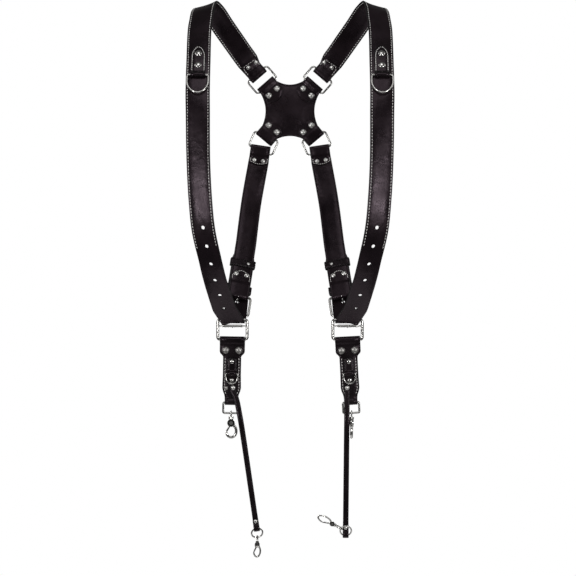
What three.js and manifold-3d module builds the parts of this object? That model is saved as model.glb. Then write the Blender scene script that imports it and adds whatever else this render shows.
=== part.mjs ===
// A leather harness that carries two hooks at the hips, kept in the form that it has when it is worn.
// Millimetres, +Z up, +Y towards the wearer's back. The origin lies midway between the two shoulder
// saddles, on the underside of the straps. Each side is built at +X and mirrored for the other side.
import * as THREE from "three";
import { mergeVertices } from "three/addons/utils/BufferGeometryUtils.js";
import Module from "manifold-3d";

const wasm = await Module();
wasm.setup();

// Leather
const strapWidth = 38;
const strapThickness = 3;
const backStrapWidth = 35;
const backStrapThickness = 2.4;
const plateThickness = 2.6;
const tabThickness = 2.2;
const patchThickness = 1.6;
const keeperThickness = 2;
const keeperHeight = 13;
const tetherWidth = 9.5;
const tetherThickness = 2;

// Clearances, and how far a strap runs on inside its own fold
const seat = 0.3;
const wireClearance = 0.4;
const holeClearance = 0.35;
const joinOverlap = 0.7;

// Worn form, from the origin
const shoulderOut = 137;
const chestOut = 144;
const ringOut = 94;
const chestDepth = 102;
const backDepth = 95;
const ringDepth = -5;
const frontDrop = 512.3;

// Back plate and its rings
const plateDrop = 155;
const plateHalfWaist = 42.2;
const plateTopRise = 45.2;
const plateBottomFall = 43.5;
const plateArmWidth = 35;
const backRingWire = 3.2;
const backRingWidth = 44;
const backRingSpacing = 27.5;
const backRingCorner = 5;
const upperRingOut = 47.75;
const upperRingDrop = 102;
const upperRingLean = 49;
const upperFoldWidth = 32;
const lowerRingOut = 45.7;
const lowerRingDrop = 211;
const lowerRingLean = 24;
const lowerArmLean = 40;
const backStrapLean = 8.5;
const upperFoldSlack = 3;

// Buckle
const buckleOut = 86.4;
const buckleDepth = 24;
const buckleDrop = 473.6;
const buckleLeanIn = 7.5;
const buckleLeanBack = 20.5;
const buckleYaw = 10;
const buckleWire = 4;
const buckleInnerWidth = 40;
const buckleLength = 32;
const tongueWire = 2.4;
const straightAboveBuckle = 95;
const buckleFlap = 48;
const tailLength = 82;
const fixedKeeperUp = 13;
const slidingKeeperUp = 59;

// Slider ring and the holes for its adjustment
const sliderWire = 5;
const sliderInnerWidth = 43;
const sliderMiddleDrop = 10.1;
const sliderHeight = 32;
const sliderCorner = 3.5;
const adjustHoleRadius = 3;
const adjustHolePitch = 30;
const adjustHoleCount = 6;
const lowestAdjustHole = 33;

// Chest patch with its D-ring
const patchDrop = 128.8;
const patchWidth = 23.4;
const patchLength = 54;
const dRingWire = 3;
const dRingWidth = 36;
const dRingHeight = 31.4;

// Drop tab, its patch and its link
const tabHeadWidth = 41;
const tabHeadLength = 20;
const tabRivetDrop = 17.8;
const tabRivetSpacing = 21.2;
const tabBodyWidth = 29.5;
const tabHipWidth = 30.5;
const tabFootWidth = 21.5;
const tabLength = 103;
const dropPatchWidth = 16;
const dropPatchLength = 27;
const dropPatchDrop = 55.7;
const dropRingWire = 2.6;
const dropRingWidth = 22;
const dropRingHeight = 17.4;
const linkWire = 3.4;
const linkWidth = 26.4;
const linkHeight = 17.5;
const linkCorner = 2.4;

// Tether
const tetherTop = 79;
const tetherForward = 9.5;
const tetherRingRadius = 9;
const tetherRingWire = 2.4;
const tetherRingSag = 0.7;
const tetherPlay = 1.3;
const tetherFlap = 17;

// The two sides hang differently. In degrees: how far the drop tab leans outwards, the swing of the
// tether's ring from hanging straight down, the place of its hook round the ring, and the hook's own
// lean to the front. In millimetres: how far the tether is sewn on inside the tab's middle, and how
// far out and down its fold lies.
const sides = {
  left: { tabLean: 1, tetherInset: 2.5, out: 54, drop: 851, ringSwing: 50, around: 0, lean: 58 },
  right: { tabLean: 3, tetherInset: 5, out: 90.3, drop: 861.5, ringSwing: 160, around: 60, lean: 0 },
};

// A tether between its top and its fold: shares of the way down and across, and of tetherForward.
const tetherRows = [
  { down: 0.075, across: 0.135, forward: 0.28 },
  { down: 0.21, across: 0.31, forward: 1 },
  { down: 0.352, across: 0.444, forward: 1 },
];

// Rivets
const plateRivetRadius = 5;
const tabRivetRadius = 5.8;
const rivetShankRadius = 1.5;
const rivetDome = 2.4;
const rivetBackHeight = 1.2;

// Swivel hooks: the large one hangs in the link, the small one ends the tether.
const dropHook = {
  eyeWidth: 9.8,
  eyeHeight: 9.4,
  eyeWire: 2.6,
  studRadius: 1.4,
  studLength: 3,
  studHeadRadius: 2.6,
  studHeadHeight: 1.4,
  barrelRadius: 4.2,
  barrelFloor: 1.2,
  bossRadius: 6.4,
  bossThickness: 7,
  bowRadius: 8.2,
  bowStretch: 1.25,
  bowWire: 4.4,
  gateThickness: 2.6,
  gateWidth: 3.2,
  pinRadius: 1.2,
};
const tetherHook = {
  eyeWidth: 7.4,
  eyeHeight: 13,
  eyeWire: 2,
  studRadius: 0.9,
  studLength: 2.3,
  studHeadRadius: 1.7,
  studHeadHeight: 0.9,
  barrelRadius: 2.8,
  barrelFloor: 0.8,
  bossRadius: 4,
  bossThickness: 4.6,
  bowRadius: 5.2,
  bowStretch: 2.3,
  bowWire: 2.6,
  gateThickness: 1.4,
  gateWidth: 2.4,
  pinRadius: 0.8,
};

// The shoulder strap's centreline down the chest, from the saddle to just above the slider ring:
// shares of frontDrop, of the way out from ringOut to chestOut, of chestDepth, and its roll and yaw
// in degrees.
const frontRows = [
  { down: 0.0166, out: 0.94, forward: 0.18, roll: 15, yaw: 0 },
  { down: 0.0568, out: 0.984, forward: 0.335, roll: 9, yaw: 0 },
  { down: 0.0937, out: 1.01, forward: 0.45, roll: 4, yaw: 0 },
  { down: 0.198, out: 1.0, forward: 0.725, roll: 0, yaw: 0 },
  { down: 0.302, out: 1.0, forward: 0.882, roll: 0, yaw: 0 },
  { down: 0.358, out: 0.988, forward: 0.93, roll: 0, yaw: 5 },
  { down: 0.511, out: 0.962, forward: 0.99, roll: 0, yaw: 13 },
  { down: 0.632, out: 0.898, forward: 1.0, roll: 2, yaw: 14 },
  { down: 0.723, out: 0.808, forward: 0.961, roll: 6, yaw: 14 },
  { down: 0.813, out: 0.62, forward: 0.824, roll: 10, yaw: 20 },
  { down: 0.874, out: 0.49, forward: 0.647, roll: 14, yaw: 22 },
  { down: 0.92, out: 0.36, forward: 0.48, roll: 14, yaw: 14 },
  { down: 0.9615, out: 0.25, forward: 0.284, roll: 8, yaw: 5 },
];

// The same strap from the upper ring over the back to the saddle: shares of the way from the ring's
// bar to the saddle, sideways and up, and of backDepth, with its roll and its share of strapWidth.
const backRows = [
  { up: 0.1, across: 0.1, back: 1.01, roll: 41, wide: 0.85 },
  { up: 0.225, across: 0.2, back: 0.95, roll: 39, wide: 1 },
  { up: 0.36, across: 0.325, back: 0.86, roll: 37, wide: 1 },
  { up: 0.49, across: 0.446, back: 0.73, roll: 36, wide: 1 },
  { up: 0.735, across: 0.677, back: 0.47, roll: 31, wide: 1 },
  { up: 0.93, across: 0.86, back: 0.21, roll: 24, wide: 1 },
];

const leather = { color: 0x1d181b, roughness: 0.5, metalness: 0 };
const darkLeather = { color: 0x161315, roughness: 0.55, metalness: 0 };
const nickel = { color: 0xd4d3d0, roughness: 0.22, metalness: 1 };
const darkSilver = { color: 0x9a9794, roughness: 0.3, metalness: 1 };

const harness = new THREE.Group();

function vec(x, y, z) {
  return new THREE.Vector3(x, y, z);
}

function degrees(angle) {
  return THREE.MathUtils.degToRad(angle);
}

// Solids

function solidOf(geometry) {
  const bare = geometry.index ? geometry.toNonIndexed() : geometry.clone();
  const merged = mergeVertices(bareOf(bare), 1e-4);
  const mesh = new wasm.Mesh({
    numProp: 3,
    vertProperties: merged.attributes.position.array,
    triVerts: new Uint32Array(merged.index.array),
  });
  return new wasm.Manifold(mesh);
}

function geometryOf(solid) {
  const mesh = solid.getMesh();
  const geometry = new THREE.BufferGeometry();
  geometry.setAttribute("position", new THREE.BufferAttribute(mesh.vertProperties, 3));
  geometry.setIndex(new THREE.BufferAttribute(mesh.triVerts, 1));
  return geometry;
}

function join(...geometries) {
  const solid = geometries.map(solidOf).reduce((whole, piece) => whole.add(piece));
  return geometryOf(solid);
}

function cut(geometry, ...tools) {
  const solid = tools.map(solidOf).reduce((whole, tool) => whole.subtract(tool), solidOf(geometry));
  return geometryOf(solid);
}

// A closed skin through sections that all have the same number of points.
function loft(sections, closed = false) {
  const count = sections[0].length;
  const positions = sections.flat().flatMap((point) => [point.x, point.y, point.z]);
  const faces = [];
  const last = closed ? sections.length : sections.length - 1;
  for (let s = 0; s < last; s += 1) {
    const here = s * count;
    const next = ((s + 1) % sections.length) * count;
    for (let i = 0; i < count; i += 1) {
      const j = (i + 1) % count;
      faces.push(here + i, next + i, next + j, here + i, next + j, here + j);
    }
  }
  if (!closed) {
    const end = (sections.length - 1) * count;
    for (let i = 1; i < count - 1; i += 1) {
      faces.push(0, i, i + 1, end, end + i + 1, end + i);
    }
  }
  const geometry = new THREE.BufferGeometry();
  geometry.setAttribute("position", new THREE.Float32BufferAttribute(positions, 3));
  geometry.setIndex(faces);
  return facingOut(geometry);
}

function facingOut(geometry) {
  const position = geometry.attributes.position;
  const index = Array.from(geometry.index.array);
  const corner = [vec(0, 0, 0), vec(0, 0, 0), vec(0, 0, 0)];
  let volume = 0;
  for (let i = 0; i < index.length; i += 3) {
    corner.forEach((point, k) => point.fromBufferAttribute(position, index[i + k]));
    volume += corner[0].dot(corner[1].clone().cross(corner[2]));
  }
  if (volume < 0) {
    for (let i = 0; i < index.length; i += 3) {
      [index[i + 1], index[i + 2]] = [index[i + 2], index[i + 1]];
    }
    geometry.setIndex(index);
  }
  return geometry;
}

// A round rod along a path that lies in the plane with the given normal.
function rod(points, normal, radius, sides, closed = false) {
  const count = points.length;
  const sections = points.map((point, i) => {
    const before = points[closed ? (i + count - 1) % count : Math.max(i - 1, 0)];
    const after = points[closed ? (i + 1) % count : Math.min(i + 1, count - 1)];
    const along = after.clone().sub(before).normalize();
    const side = along.clone().cross(normal).normalize();
    return Array.from({ length: sides }, (_, k) => {
      const angle = ((k + 0.5) / sides) * 2 * Math.PI;
      const across = side.clone().multiplyScalar(radius * Math.cos(angle));
      const out = normal.clone().multiplyScalar(radius * Math.sin(angle));
      return point.clone().add(across).add(out);
    });
  });
  return loft(sections, closed);
}

// Flat outlines, as lists of points in the local plane

function arc(x, y, radius, from, to, steps) {
  return Array.from({ length: steps + 1 }, (_, i) => {
    const angle = degrees(from + ((to - from) * i) / steps);
    return new THREE.Vector2(x + radius * Math.cos(angle), y + radius * Math.sin(angle));
  });
}

function roundedRectangle(width, height, corner, steps = 3) {
  const x = width / 2 - corner;
  const y = height / 2 - corner;
  return [
    ...arc(x, y, corner, 0, 90, steps),
    ...arc(-x, y, corner, 90, 180, steps),
    ...arc(-x, -y, corner, 180, 270, steps),
    ...arc(x, -y, corner, 270, 360, steps),
  ];
}

// A bow from one point to another that bulges to the left of the way between them.
function bow(from, to, rise, steps) {
  const middle = from.clone().add(to).multiplyScalar(0.5);
  const half = to.clone().sub(from).multiplyScalar(0.5);
  const left = new THREE.Vector2(-half.y, half.x).normalize();
  return Array.from({ length: steps + 1 }, (_, i) => {
    const share = (2 * i) / steps - 1;
    const height = rise * (1 - share * share);
    return middle.clone().addScaledVector(half, share).addScaledVector(left, height);
  });
}

function slab(outline, near, far) {
  const geometry = new THREE.ExtrudeGeometry(new THREE.Shape(outline), {
    depth: far - near,
    bevelEnabled: false,
    steps: 1,
  });
  return geometry.translate(0, 0, near);
}

// A profile in the local up and facing directions, drawn out across a width.
function drawnAcross(profile, width) {
  const geometry = slab(profile, -width / 2, width / 2);
  const turn = new THREE.Matrix4().makeBasis(vec(0, 1, 0), vec(0, 0, 1), vec(1, 0, 0));
  return geometry.applyMatrix4(turn);
}

function pinAlongFacing(x, y, radius, from, to, sides = 12) {
  return slab(arc(x, y, radius, 0, 360 - 360 / sides, sides - 1), from, to);
}

function boxBetween(low, high) {
  const size = high.clone().sub(low);
  const middle = high.clone().add(low).multiplyScalar(0.5);
  return new THREE.BoxGeometry(size.x, size.y, size.z).translate(middle.x, middle.y, middle.z);
}

// Local frames: x across the strap, y up along it, z the face that looks to the front.

function frameAt(origin, up, facing) {
  const y = up.clone().normalize();
  const z = facing.clone().addScaledVector(y, -facing.dot(y)).normalize();
  const x = y.clone().cross(z);
  return new THREE.Matrix4().makeBasis(x, y, z).setPosition(origin);
}

function inFrame(frame, geometry) {
  return geometry.clone().applyMatrix4(frame);
}

function pointIn(frame, x, y, z) {
  return vec(x, y, z).applyMatrix4(frame);
}

function axisOf(frame, index) {
  const axes = [vec(0, 0, 0), vec(0, 0, 0), vec(0, 0, 0)];
  frame.extractBasis(axes[0], axes[1], axes[2]);
  return axes[index];
}

const front = vec(0, -1, 0);
const upward = vec(0, 0, 1);

// A leather end folded round a bar, with its nose at the bottom and the bar's middle at the origin.
// The bar may lie skewed in the fold, which then leaves room for it. flatBack keeps the back in one
// plane, for a fold that lies on another piece.
function foldedEnd(fold) {
  const { width, layer, wire, flap } = fold;
  const { play = wireClearance, slack = 0, skew = 0, flat = 0, rise = 0, flatBack = false } = fold;
  const clear = wire / 2 + play;
  const tilt = (width / 2) * Math.tan(Math.abs(skew));
  const reach = clear / Math.cos(skew) + tilt;
  const nose = reach + slack;
  const deep = reach + flat;
  const half = clear + layer;
  const ramp = deep + 2 * clear;
  const backLine = flatBack ? -half : -layer;
  const frontLine = backLine + 2 * layer;
  const flapBack = flatBack ? backLine : frontLine - 1.1 * layer;
  const round = arc(-nose + clear, 0, half, 120, 240, 6);
  const profile = [
    ...round,
    new THREE.Vector2(deep, -half),
    new THREE.Vector2(ramp, backLine),
    new THREE.Vector2(ramp + layer, backLine),
    new THREE.Vector2(ramp + layer, frontLine),
    new THREE.Vector2(ramp, frontLine),
    new THREE.Vector2(deep, half),
  ];
  const edge = width / 2;
  const flapSide = flap - rise;
  const flapOutline = [
    new THREE.Vector2(-edge, ramp),
    new THREE.Vector2(edge, ramp),
    ...bow(new THREE.Vector2(edge, flapSide), new THREE.Vector2(-edge, flapSide), -rise, 6),
  ];
  const slope = Math.tan(skew);
  const beyond = edge + 1;
  const top = clear / Math.cos(skew) + flat;
  const room = [
    new THREE.Vector2(-beyond, -nose),
    new THREE.Vector2(beyond, -nose),
    new THREE.Vector2(beyond, top + beyond * slope),
    new THREE.Vector2(-beyond, top - beyond * slope),
  ];
  const straight = slack === 0 && skew === 0 && flat === 0;
  const hollow = straight
    ? drawnAcross(arc(0, 0, clear, 15, 345, 11), width + 2)
    : slab(room, -clear, clear);
  return {
    block: drawnAcross(profile, width),
    flap: slab(flapOutline, flapBack, frontLine),
    hollow,
    back: backLine,
    front: frontLine,
    half,
    flatTo: deep,
    slopeTo: ramp,
    joinAt: deep + joinOverlap,
  };
}

// A flat strap of rectangular section along stations with a place, a direction across and a width.
function ribbon(stations, thickness) {
  const sections = stations.map((station, i) => {
    const before = stations[Math.max(i - 1, 0)].place;
    const after = stations[Math.min(i + 1, stations.length - 1)].place;
    const along = station.along ?? after.clone().sub(before).normalize();
    const across = station.across.clone().addScaledVector(along, -station.across.dot(along)).normalize();
    const outer = along.clone().cross(across);
    const side = across.multiplyScalar(station.width / 2);
    const face = outer.multiplyScalar(thickness / 2);
    return [
      station.place.clone().add(side).add(face),
      station.place.clone().sub(side).add(face),
      station.place.clone().sub(side).sub(face),
      station.place.clone().add(side).sub(face),
    ];
  });
  return loft(sections);
}

// Stations along a smooth curve through the given ones, so that each stretch has some steps.
function smooth(stations, steps) {
  const curve = new THREE.CatmullRomCurve3(
    stations.map((station) => station.place),
    false,
    "centripetal",
  );
  const stretches = stations.length - 1;
  return Array.from({ length: stretches * steps + 1 }, (_, i) => {
    const index = Math.min(Math.floor(i / steps), stretches - 1);
    const share = i / steps - index;
    const from = stations[index];
    const to = stations[index + 1];
    return {
      place: curve.getPoint(i / (stretches * steps)),
      across: from.across.clone().lerp(to.across, share).normalize(),
      width: from.width + (to.width - from.width) * share,
    };
  });
}

function acrossAt(roll, yaw) {
  const r = degrees(roll);
  const w = degrees(yaw);
  return vec(Math.cos(r) * Math.cos(w), Math.sin(w), -Math.sin(r)).normalize();
}

// Frames of the rings and folds at the back

const plateCentre = vec(0, backDepth, -plateDrop);

function leaning(lean) {
  return vec(Math.cos(degrees(lean)), 0, Math.sin(degrees(lean)));
}

const upperAxis = leaning(upperRingLean);
const upperRingCentre = vec(upperRingOut, backDepth, -upperRingDrop);
const upperRingFrame = frameAt(upperRingCentre, upperAxis, front);
const upperBarAtPlate = upperRingCentre.clone().addScaledVector(upperAxis, -backRingSpacing / 2);
const upperBarAtStrap = upperRingCentre.clone().addScaledVector(upperAxis, backRingSpacing / 2);
const upperArmFrame = frameAt(upperBarAtPlate, upperAxis.clone().negate(), front);
const strapEndFrame = frameAt(upperBarAtStrap, upperAxis, front);

const lowerAxis = leaning(90 + lowerRingLean);
const lowerRingCentre = vec(lowerRingOut, backDepth, -lowerRingDrop);
const lowerRingFrame = frameAt(lowerRingCentre, lowerAxis, front);
const lowerBarAtPlate = lowerRingCentre.clone().addScaledVector(lowerAxis, backRingSpacing / 2);
const lowerBarAtStrap = lowerRingCentre.clone().addScaledVector(lowerAxis, -backRingSpacing / 2);
const lowerArmFrame = frameAt(lowerBarAtPlate, leaning(90 + lowerArmLean), front);
const backStrapTopFrame = frameAt(lowerBarAtStrap, leaning(backStrapLean - 90), front);

const upperFold = {
  width: plateArmWidth,
  layer: plateThickness,
  wire: backRingWire,
  slack: upperFoldSlack,
  flap: 29,
  rise: 7,
};
const lowerFold = {
  width: plateArmWidth - 0.8,
  layer: plateThickness,
  wire: backRingWire,
  skew: degrees(lowerRingLean - lowerArmLean),
  flap: 27,
  rise: 6,
};
const strapEndFold = {
  width: upperFoldWidth,
  layer: strapThickness,
  wire: backRingWire,
  slack: upperFoldSlack,
  flap: 27,
};
const backStrapTopFold = {
  width: backStrapWidth - 1,
  layer: backStrapThickness,
  wire: backRingWire,
  skew: degrees(lowerRingLean - backStrapLean),
  flap: 26,
  rise: 4,
};

// Rivets

function rivetProfile(radius, frontFace, backFace) {
  const backRadius = 0.8 * radius;
  const dome = Array.from({ length: 4 }, (_, i) => {
    const angle = degrees(90 - (i * 90) / 3);
    return new THREE.Vector2(
      radius * Math.cos(angle),
      frontFace + seat + 0.4 + (rivetDome - 0.4) * Math.sin(angle),
    );
  });
  dome[0].x = 0;
  return [
    ...dome,
    new THREE.Vector2(radius, frontFace + seat),
    new THREE.Vector2(rivetShankRadius, frontFace + seat),
    new THREE.Vector2(rivetShankRadius, backFace - seat),
    new THREE.Vector2(backRadius, backFace - seat),
    new THREE.Vector2(0.8 * backRadius, backFace - seat - rivetBackHeight),
    new THREE.Vector2(0, backFace - seat - rivetBackHeight),
  ];
}

// A rivet whose axis is the local facing direction, clenched over leather between two faces.
function rivet(radius, frontFace, backFace) {
  const profile = rivetProfile(radius, frontFace, backFace).reverse();
  return new THREE.LatheGeometry(profile, 10).rotateX(Math.PI / 2);
}

function rivetHole(x, y, frontFace, backFace) {
  return pinAlongFacing(x, y, rivetShankRadius + holeClearance, backFace - 1, frontFace + 1, 8);
}

// Wire rings

function flatWire(outline, radius, sides = 6) {
  const points = outline.map((point) => vec(point.x, point.y, 0));
  return rod(points, vec(0, 0, 1), radius, sides, true);
}

function backRing() {
  const outline = roundedRectangle(backRingWidth, backRingSpacing, backRingCorner, 2);
  return flatWire(outline, backRingWire / 2);
}

function dOutline(width, height) {
  const half = width / 2;
  const shoulder = height * 0.35;
  const bend = Array.from({ length: 9 }, (_, i) => {
    const angle = degrees((180 * i) / 8);
    return new THREE.Vector2(
      half * Math.cos(angle),
      -shoulder - (height - shoulder) * Math.sin(angle),
    );
  });
  const corner = 0.09 * width;
  return [
    ...arc(half - corner, -corner, corner, 90, 0, 2),
    ...bend,
    ...arc(-half + corner, -corner, corner, 180, 90, 2),
  ];
}

function dRing(width, height, wire) {
  return flatWire(dOutline(width - wire, height - wire / 2), wire / 2);
}

// Back plate with its four folded arms

function armCorners(frame, fold) {
  const end = foldedEnd(fold).joinAt;
  const edge = fold.width / 2;
  return [-edge, edge].map((x) => {
    const point = pointIn(frame, x, end, 0);
    return new THREE.Vector2(point.x, point.z);
  });
}

function mirrored(point) {
  return new THREE.Vector2(-point.x, point.y);
}

// The sheet's outline, seen from the front: dips between the arms, cut at each fold's root.
function plateOutline() {
  const upper = armCorners(upperArmFrame, upperFold).sort((a, b) => b.y - a.y);
  const lower = armCorners(lowerArmFrame, lowerFold).sort((a, b) => b.y - a.y);
  const side = 7;
  const topDip = upper[0].y - (plateTopRise - plateDrop);
  const bottomDip = -plateDrop - plateBottomFall - lower[1].y;
  const waist = (upper[1].x + lower[0].x) / 2 - plateHalfWaist;
  return [
    ...bow(upper[0], mirrored(upper[0]), topDip, 8),
    ...bow(mirrored(upper[1]), mirrored(lower[0]), waist, 8),
    ...bow(mirrored(lower[1]), lower[1], bottomDip, 8),
    ...bow(lower[0], upper[1], waist, 8),
  ];
}

const plateRivetPlaces = [
  { frame: upperArmFrame, fold: upperFold, up: 14 },
  { frame: lowerArmFrame, fold: lowerFold, up: 16 },
];
const plateRivetSpacing = 18.5;

function backPlate() {
  const sheetFrame = frameAt(vec(0, backDepth, 0), upward, front);
  const sheet = inFrame(sheetFrame, slab(plateOutline(), -plateThickness, 0));
  const mirror = new THREE.Matrix4().makeScale(-1, 1, 1);
  const added = [sheet];
  const removed = [];
  plateRivetPlaces.forEach(({ frame, fold, up }) => {
    const end = foldedEnd(fold);
    const holes = [-1, 1].map((side) =>
      rivetHole((side * plateRivetSpacing) / 2, up, plateThickness, -plateThickness),
    );
    const armAdded = [end.block, end.flap].map((piece) => inFrame(frame, piece));
    const armRemoved = [end.hollow, ...holes].map((piece) => inFrame(frame, piece));
    added.push(...armAdded, ...armAdded.map((piece) => flipped(piece, mirror)));
    removed.push(...armRemoved, ...armRemoved.map((piece) => flipped(piece, mirror)));
  });
  return cut(join(...added), ...removed);
}

function flipped(geometry, mirror) {
  const plain = geometry.index ? geometry.toNonIndexed() : geometry.clone();
  const merged = mergeVertices(bareOf(plain.applyMatrix4(mirror)), 1e-4);
  return facingOut(merged);
}

function bareOf(geometry) {
  geometry.deleteAttribute("normal");
  geometry.deleteAttribute("uv");
  return geometry;
}

// Back strap and buckle

const buckleUp = vec(
  -Math.sin(degrees(buckleLeanIn)),
  Math.sin(degrees(buckleLeanBack)),
  Math.cos(degrees(buckleLeanBack)),
).normalize();
const buckleFacing = vec(-Math.sin(degrees(buckleYaw)), -Math.cos(degrees(buckleYaw)), 0);
const buckleFrame = frameAt(vec(buckleOut, buckleDepth, -buckleDrop), buckleUp, buckleFacing);
const buckleFold = {
  width: backStrapWidth - 0.6,
  layer: backStrapThickness,
  wire: buckleWire,
  flat: fixedKeeperUp + keeperHeight / 2 - buckleWire / 2 + 1,
  flap: buckleFlap,
  rise: 12,
};
const tongueSlotWidth = 4;
const buckleRivetUp = 38;
const buckleRivetSpacing = 18;

function backStrap() {
  const bottom = foldedEnd(buckleFold);
  const top = foldedEnd(backStrapTopFold);
  const onBuckle = (up) => pointIn(buckleFrame, 0, up, -backStrapThickness / 2);
  const buckleAcross = axisOf(buckleFrame, 0);
  const topAcross = axisOf(backStrapTopFrame, 0).negate();
  const width = backStrapWidth;
  const stations = [
    { place: onBuckle(bottom.joinAt + 8), across: buckleAcross, width },
    { place: onBuckle(straightAboveBuckle - 8), across: buckleAcross, width },
    { place: onBuckle(straightAboveBuckle), across: acrossAt(-7, -12), width },
    {
      place: onBuckle(straightAboveBuckle)
        .lerp(pointIn(backStrapTopFrame, 0, top.joinAt + 12, -backStrapThickness / 2), 0.5)
        .add(vec(2, 6, 0)),
      across: acrossAt(-8, -14),
      width,
    },
    {
      place: pointIn(backStrapTopFrame, 0, top.joinAt + 12, -backStrapThickness / 2),
      across: topAcross,
      width,
    },
    { place: pointIn(backStrapTopFrame, 0, top.joinAt, -backStrapThickness / 2), across: topAcross, width },
  ];
  const slot = boxBetween(
    vec(-tongueSlotWidth / 2, -20, -10),
    vec(tongueSlotWidth / 2, buckleWire / 2 + wireClearance + 2, 10),
  );
  const rivetHoles = [-1, 1].map((side) =>
    rivetHole((side * buckleRivetSpacing) / 2, buckleRivetUp, backStrapThickness, -backStrapThickness),
  );
  const whole = join(
    ribbon(smooth(stations, 3), backStrapThickness),
    inFrame(buckleFrame, bottom.block),
    inFrame(buckleFrame, bottom.flap),
    inFrame(backStrapTopFrame, top.block),
    inFrame(backStrapTopFrame, top.flap),
  );
  return cut(
    whole,
    inFrame(buckleFrame, bottom.hollow),
    inFrame(buckleFrame, slot),
    ...rivetHoles.map((hole) => inFrame(buckleFrame, hole)),
    inFrame(backStrapTopFrame, top.hollow),
  );
}

function buckleLoop() {
  const outline = roundedRectangle(
    buckleInnerWidth + buckleWire,
    buckleLength,
    buckleWire,
    2,
  ).map((point) => new THREE.Vector2(point.x, point.y - buckleLength / 2));
  return flatWire(outline, buckleWire / 2);
}

// The tail's centreline behind the hinge bar, and where the tongue goes through it
const buckleFoldBack = -(buckleWire / 2 + wireClearance + backStrapThickness);
const tailBehindBar = buckleFoldBack - seat - strapThickness / 2;
const tailBehindStrap = -backStrapThickness - seat - strapThickness / 2;
const tongueCrossing = -9.5;
const tailTurn = 1.5;

function tongue() {
  const radius = tongueWire / 2;
  const loop = buckleWire / 2 + holeClearance + radius;
  const eye = arc(0, 0, loop, -90, 230, 9).map((point) => vec(0, point.x, point.y));
  const outside = tailBehindBar + 1.2;
  const shank = [
    vec(0, -loop - 2.4, 0.5),
    vec(0, tongueCrossing + 1.9, -0.3),
    vec(0, tongueCrossing - 1.9, outside - 0.4),
    vec(0, tongueCrossing - 4.5, outside - 0.9),
    vec(0, -buckleLength * 0.75, -0.72 * buckleWire - radius - 1.2),
    vec(0, -buckleLength - 1.6, -buckleWire / 2 - seat - radius),
  ];
  const eyeRod = rod(eye, vec(1, 0, 0), radius, 6);
  const shankRod = rod([vec(0, -loop + 0.3, 0.2), ...shank], vec(1, 0, 0), radius, 6);
  return join(eyeRod, shankRod);
}

function keeper(width, inner, outer) {
  const around = roundedRectangle(width + 2 * keeperThickness, outer - inner + 2 * keeperThickness, 2);
  const through = roundedRectangle(width, outer - inner, 0.6);
  const shape = new THREE.Shape(around);
  shape.holes.push(new THREE.Path(through.slice().reverse()));
  const geometry = new THREE.ExtrudeGeometry(shape, { depth: keeperHeight, bevelEnabled: false });
  return geometry
    .translate(0, (outer + inner) / 2, -keeperHeight / 2)
    .rotateX(Math.PI / 2);
}

// Shoulder strap: its route over the back, the shoulder and the chest, round the slider ring and up

const sliderFrame = frameAt(vec(ringOut, ringDepth, -frontDrop), upward, front);
const strapShift = 1;
const wrapRadius = sliderWire / 2 + wireClearance + strapThickness / 2;

function frontStation(row) {
  return {
    place: vec(
      ringOut + row.out * (chestOut - ringOut),
      -row.forward * chestDepth,
      -row.down * frontDrop,
    ),
    across: acrossAt(row.roll, row.yaw),
    width: strapWidth,
  };
}

function backStation(row) {
  const bar = upperBarAtStrap;
  return {
    place: vec(
      bar.x + row.across * (shoulderOut - bar.x),
      row.back * backDepth,
      bar.z + row.up * (strapThickness / 2 - bar.z),
    ),
    across: acrossAt(row.roll, 0),
    width: strapWidth * row.wide,
  };
}

// Where a straight stretch from a point in the side view meets the wrap round the slider's bar.
function wrapContact(point, side) {
  const toPoint = new THREE.Vector2(point.y - ringDepth, point.z + frontDrop);
  const angle = Math.atan2(toPoint.y, toPoint.x);
  return angle + side * Math.acos(wrapRadius / toPoint.length());
}

function tailStations() {
  const across = axisOf(buckleFrame, 0);
  const fold = foldedEnd(buckleFold);
  const rows = [
    { up: -buckleLength, behind: buckleWire / 2 + seat + strapThickness / 2, wide: 1 },
    { up: -tailTurn, behind: tailBehindBar, wide: 1 },
    { up: fold.flatTo + 0.5, behind: tailBehindBar, wide: 1 },
    { up: fold.slopeTo + 1, behind: tailBehindStrap, wide: 1 },
    { up: tailLength - 14, behind: tailBehindStrap, wide: 1 },
    { up: tailLength - 6, behind: tailBehindStrap, wide: 0.86 },
    { up: tailLength, behind: tailBehindStrap, wide: 0.4 },
  ];
  return rows.map((row) => ({
    place: pointIn(buckleFrame, 0, row.up, row.behind),
    across: across.clone(),
    width: strapWidth * row.wide,
  }));
}

function shoulderRoute() {
  const end = foldedEnd(strapEndFold);
  const endAcross = axisOf(strapEndFrame, 0);
  const endPlace = (up) => pointIn(strapEndFrame, 0, up, -strapThickness / 2);
  const over = [
    { place: endPlace(end.joinAt), across: endAcross, width: upperFoldWidth - 0.6 },
    ...backRows.map(backStation),
    { place: vec(shoulderOut, 0, strapThickness / 2), across: acrossAt(17, 0), width: strapWidth },
    ...frontRows.map(frontStation),
  ];
  const down = smooth(over, 3);
  const tail = tailStations();
  const enter = wrapContact(down[down.length - 1].place, 1);
  const leave = wrapContact(tail[0].place, -1);
  const sweep = leave + 2 * Math.PI - enter;
  const bend = Array.from({ length: 7 }, (_, i) => {
    const angle = enter + (sweep * i) / 6;
    return {
      place: vec(
        ringOut - strapShift,
        ringDepth + wrapRadius * Math.cos(angle),
        -frontDrop + wrapRadius * Math.sin(angle),
      ),
      along: vec(0, -Math.sin(angle), Math.cos(angle)),
      across: vec(1, 0, 0),
      width: strapWidth,
    };
  });
  return { down, bend, tail };
}

function holeAt(place, along, across, radius) {
  const frame = frameAt(place, along, along.clone().cross(across));
  return inFrame(frame, pinAlongFacing(0, 0, radius, -2 * strapThickness, 2 * strapThickness, 8));
}

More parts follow.
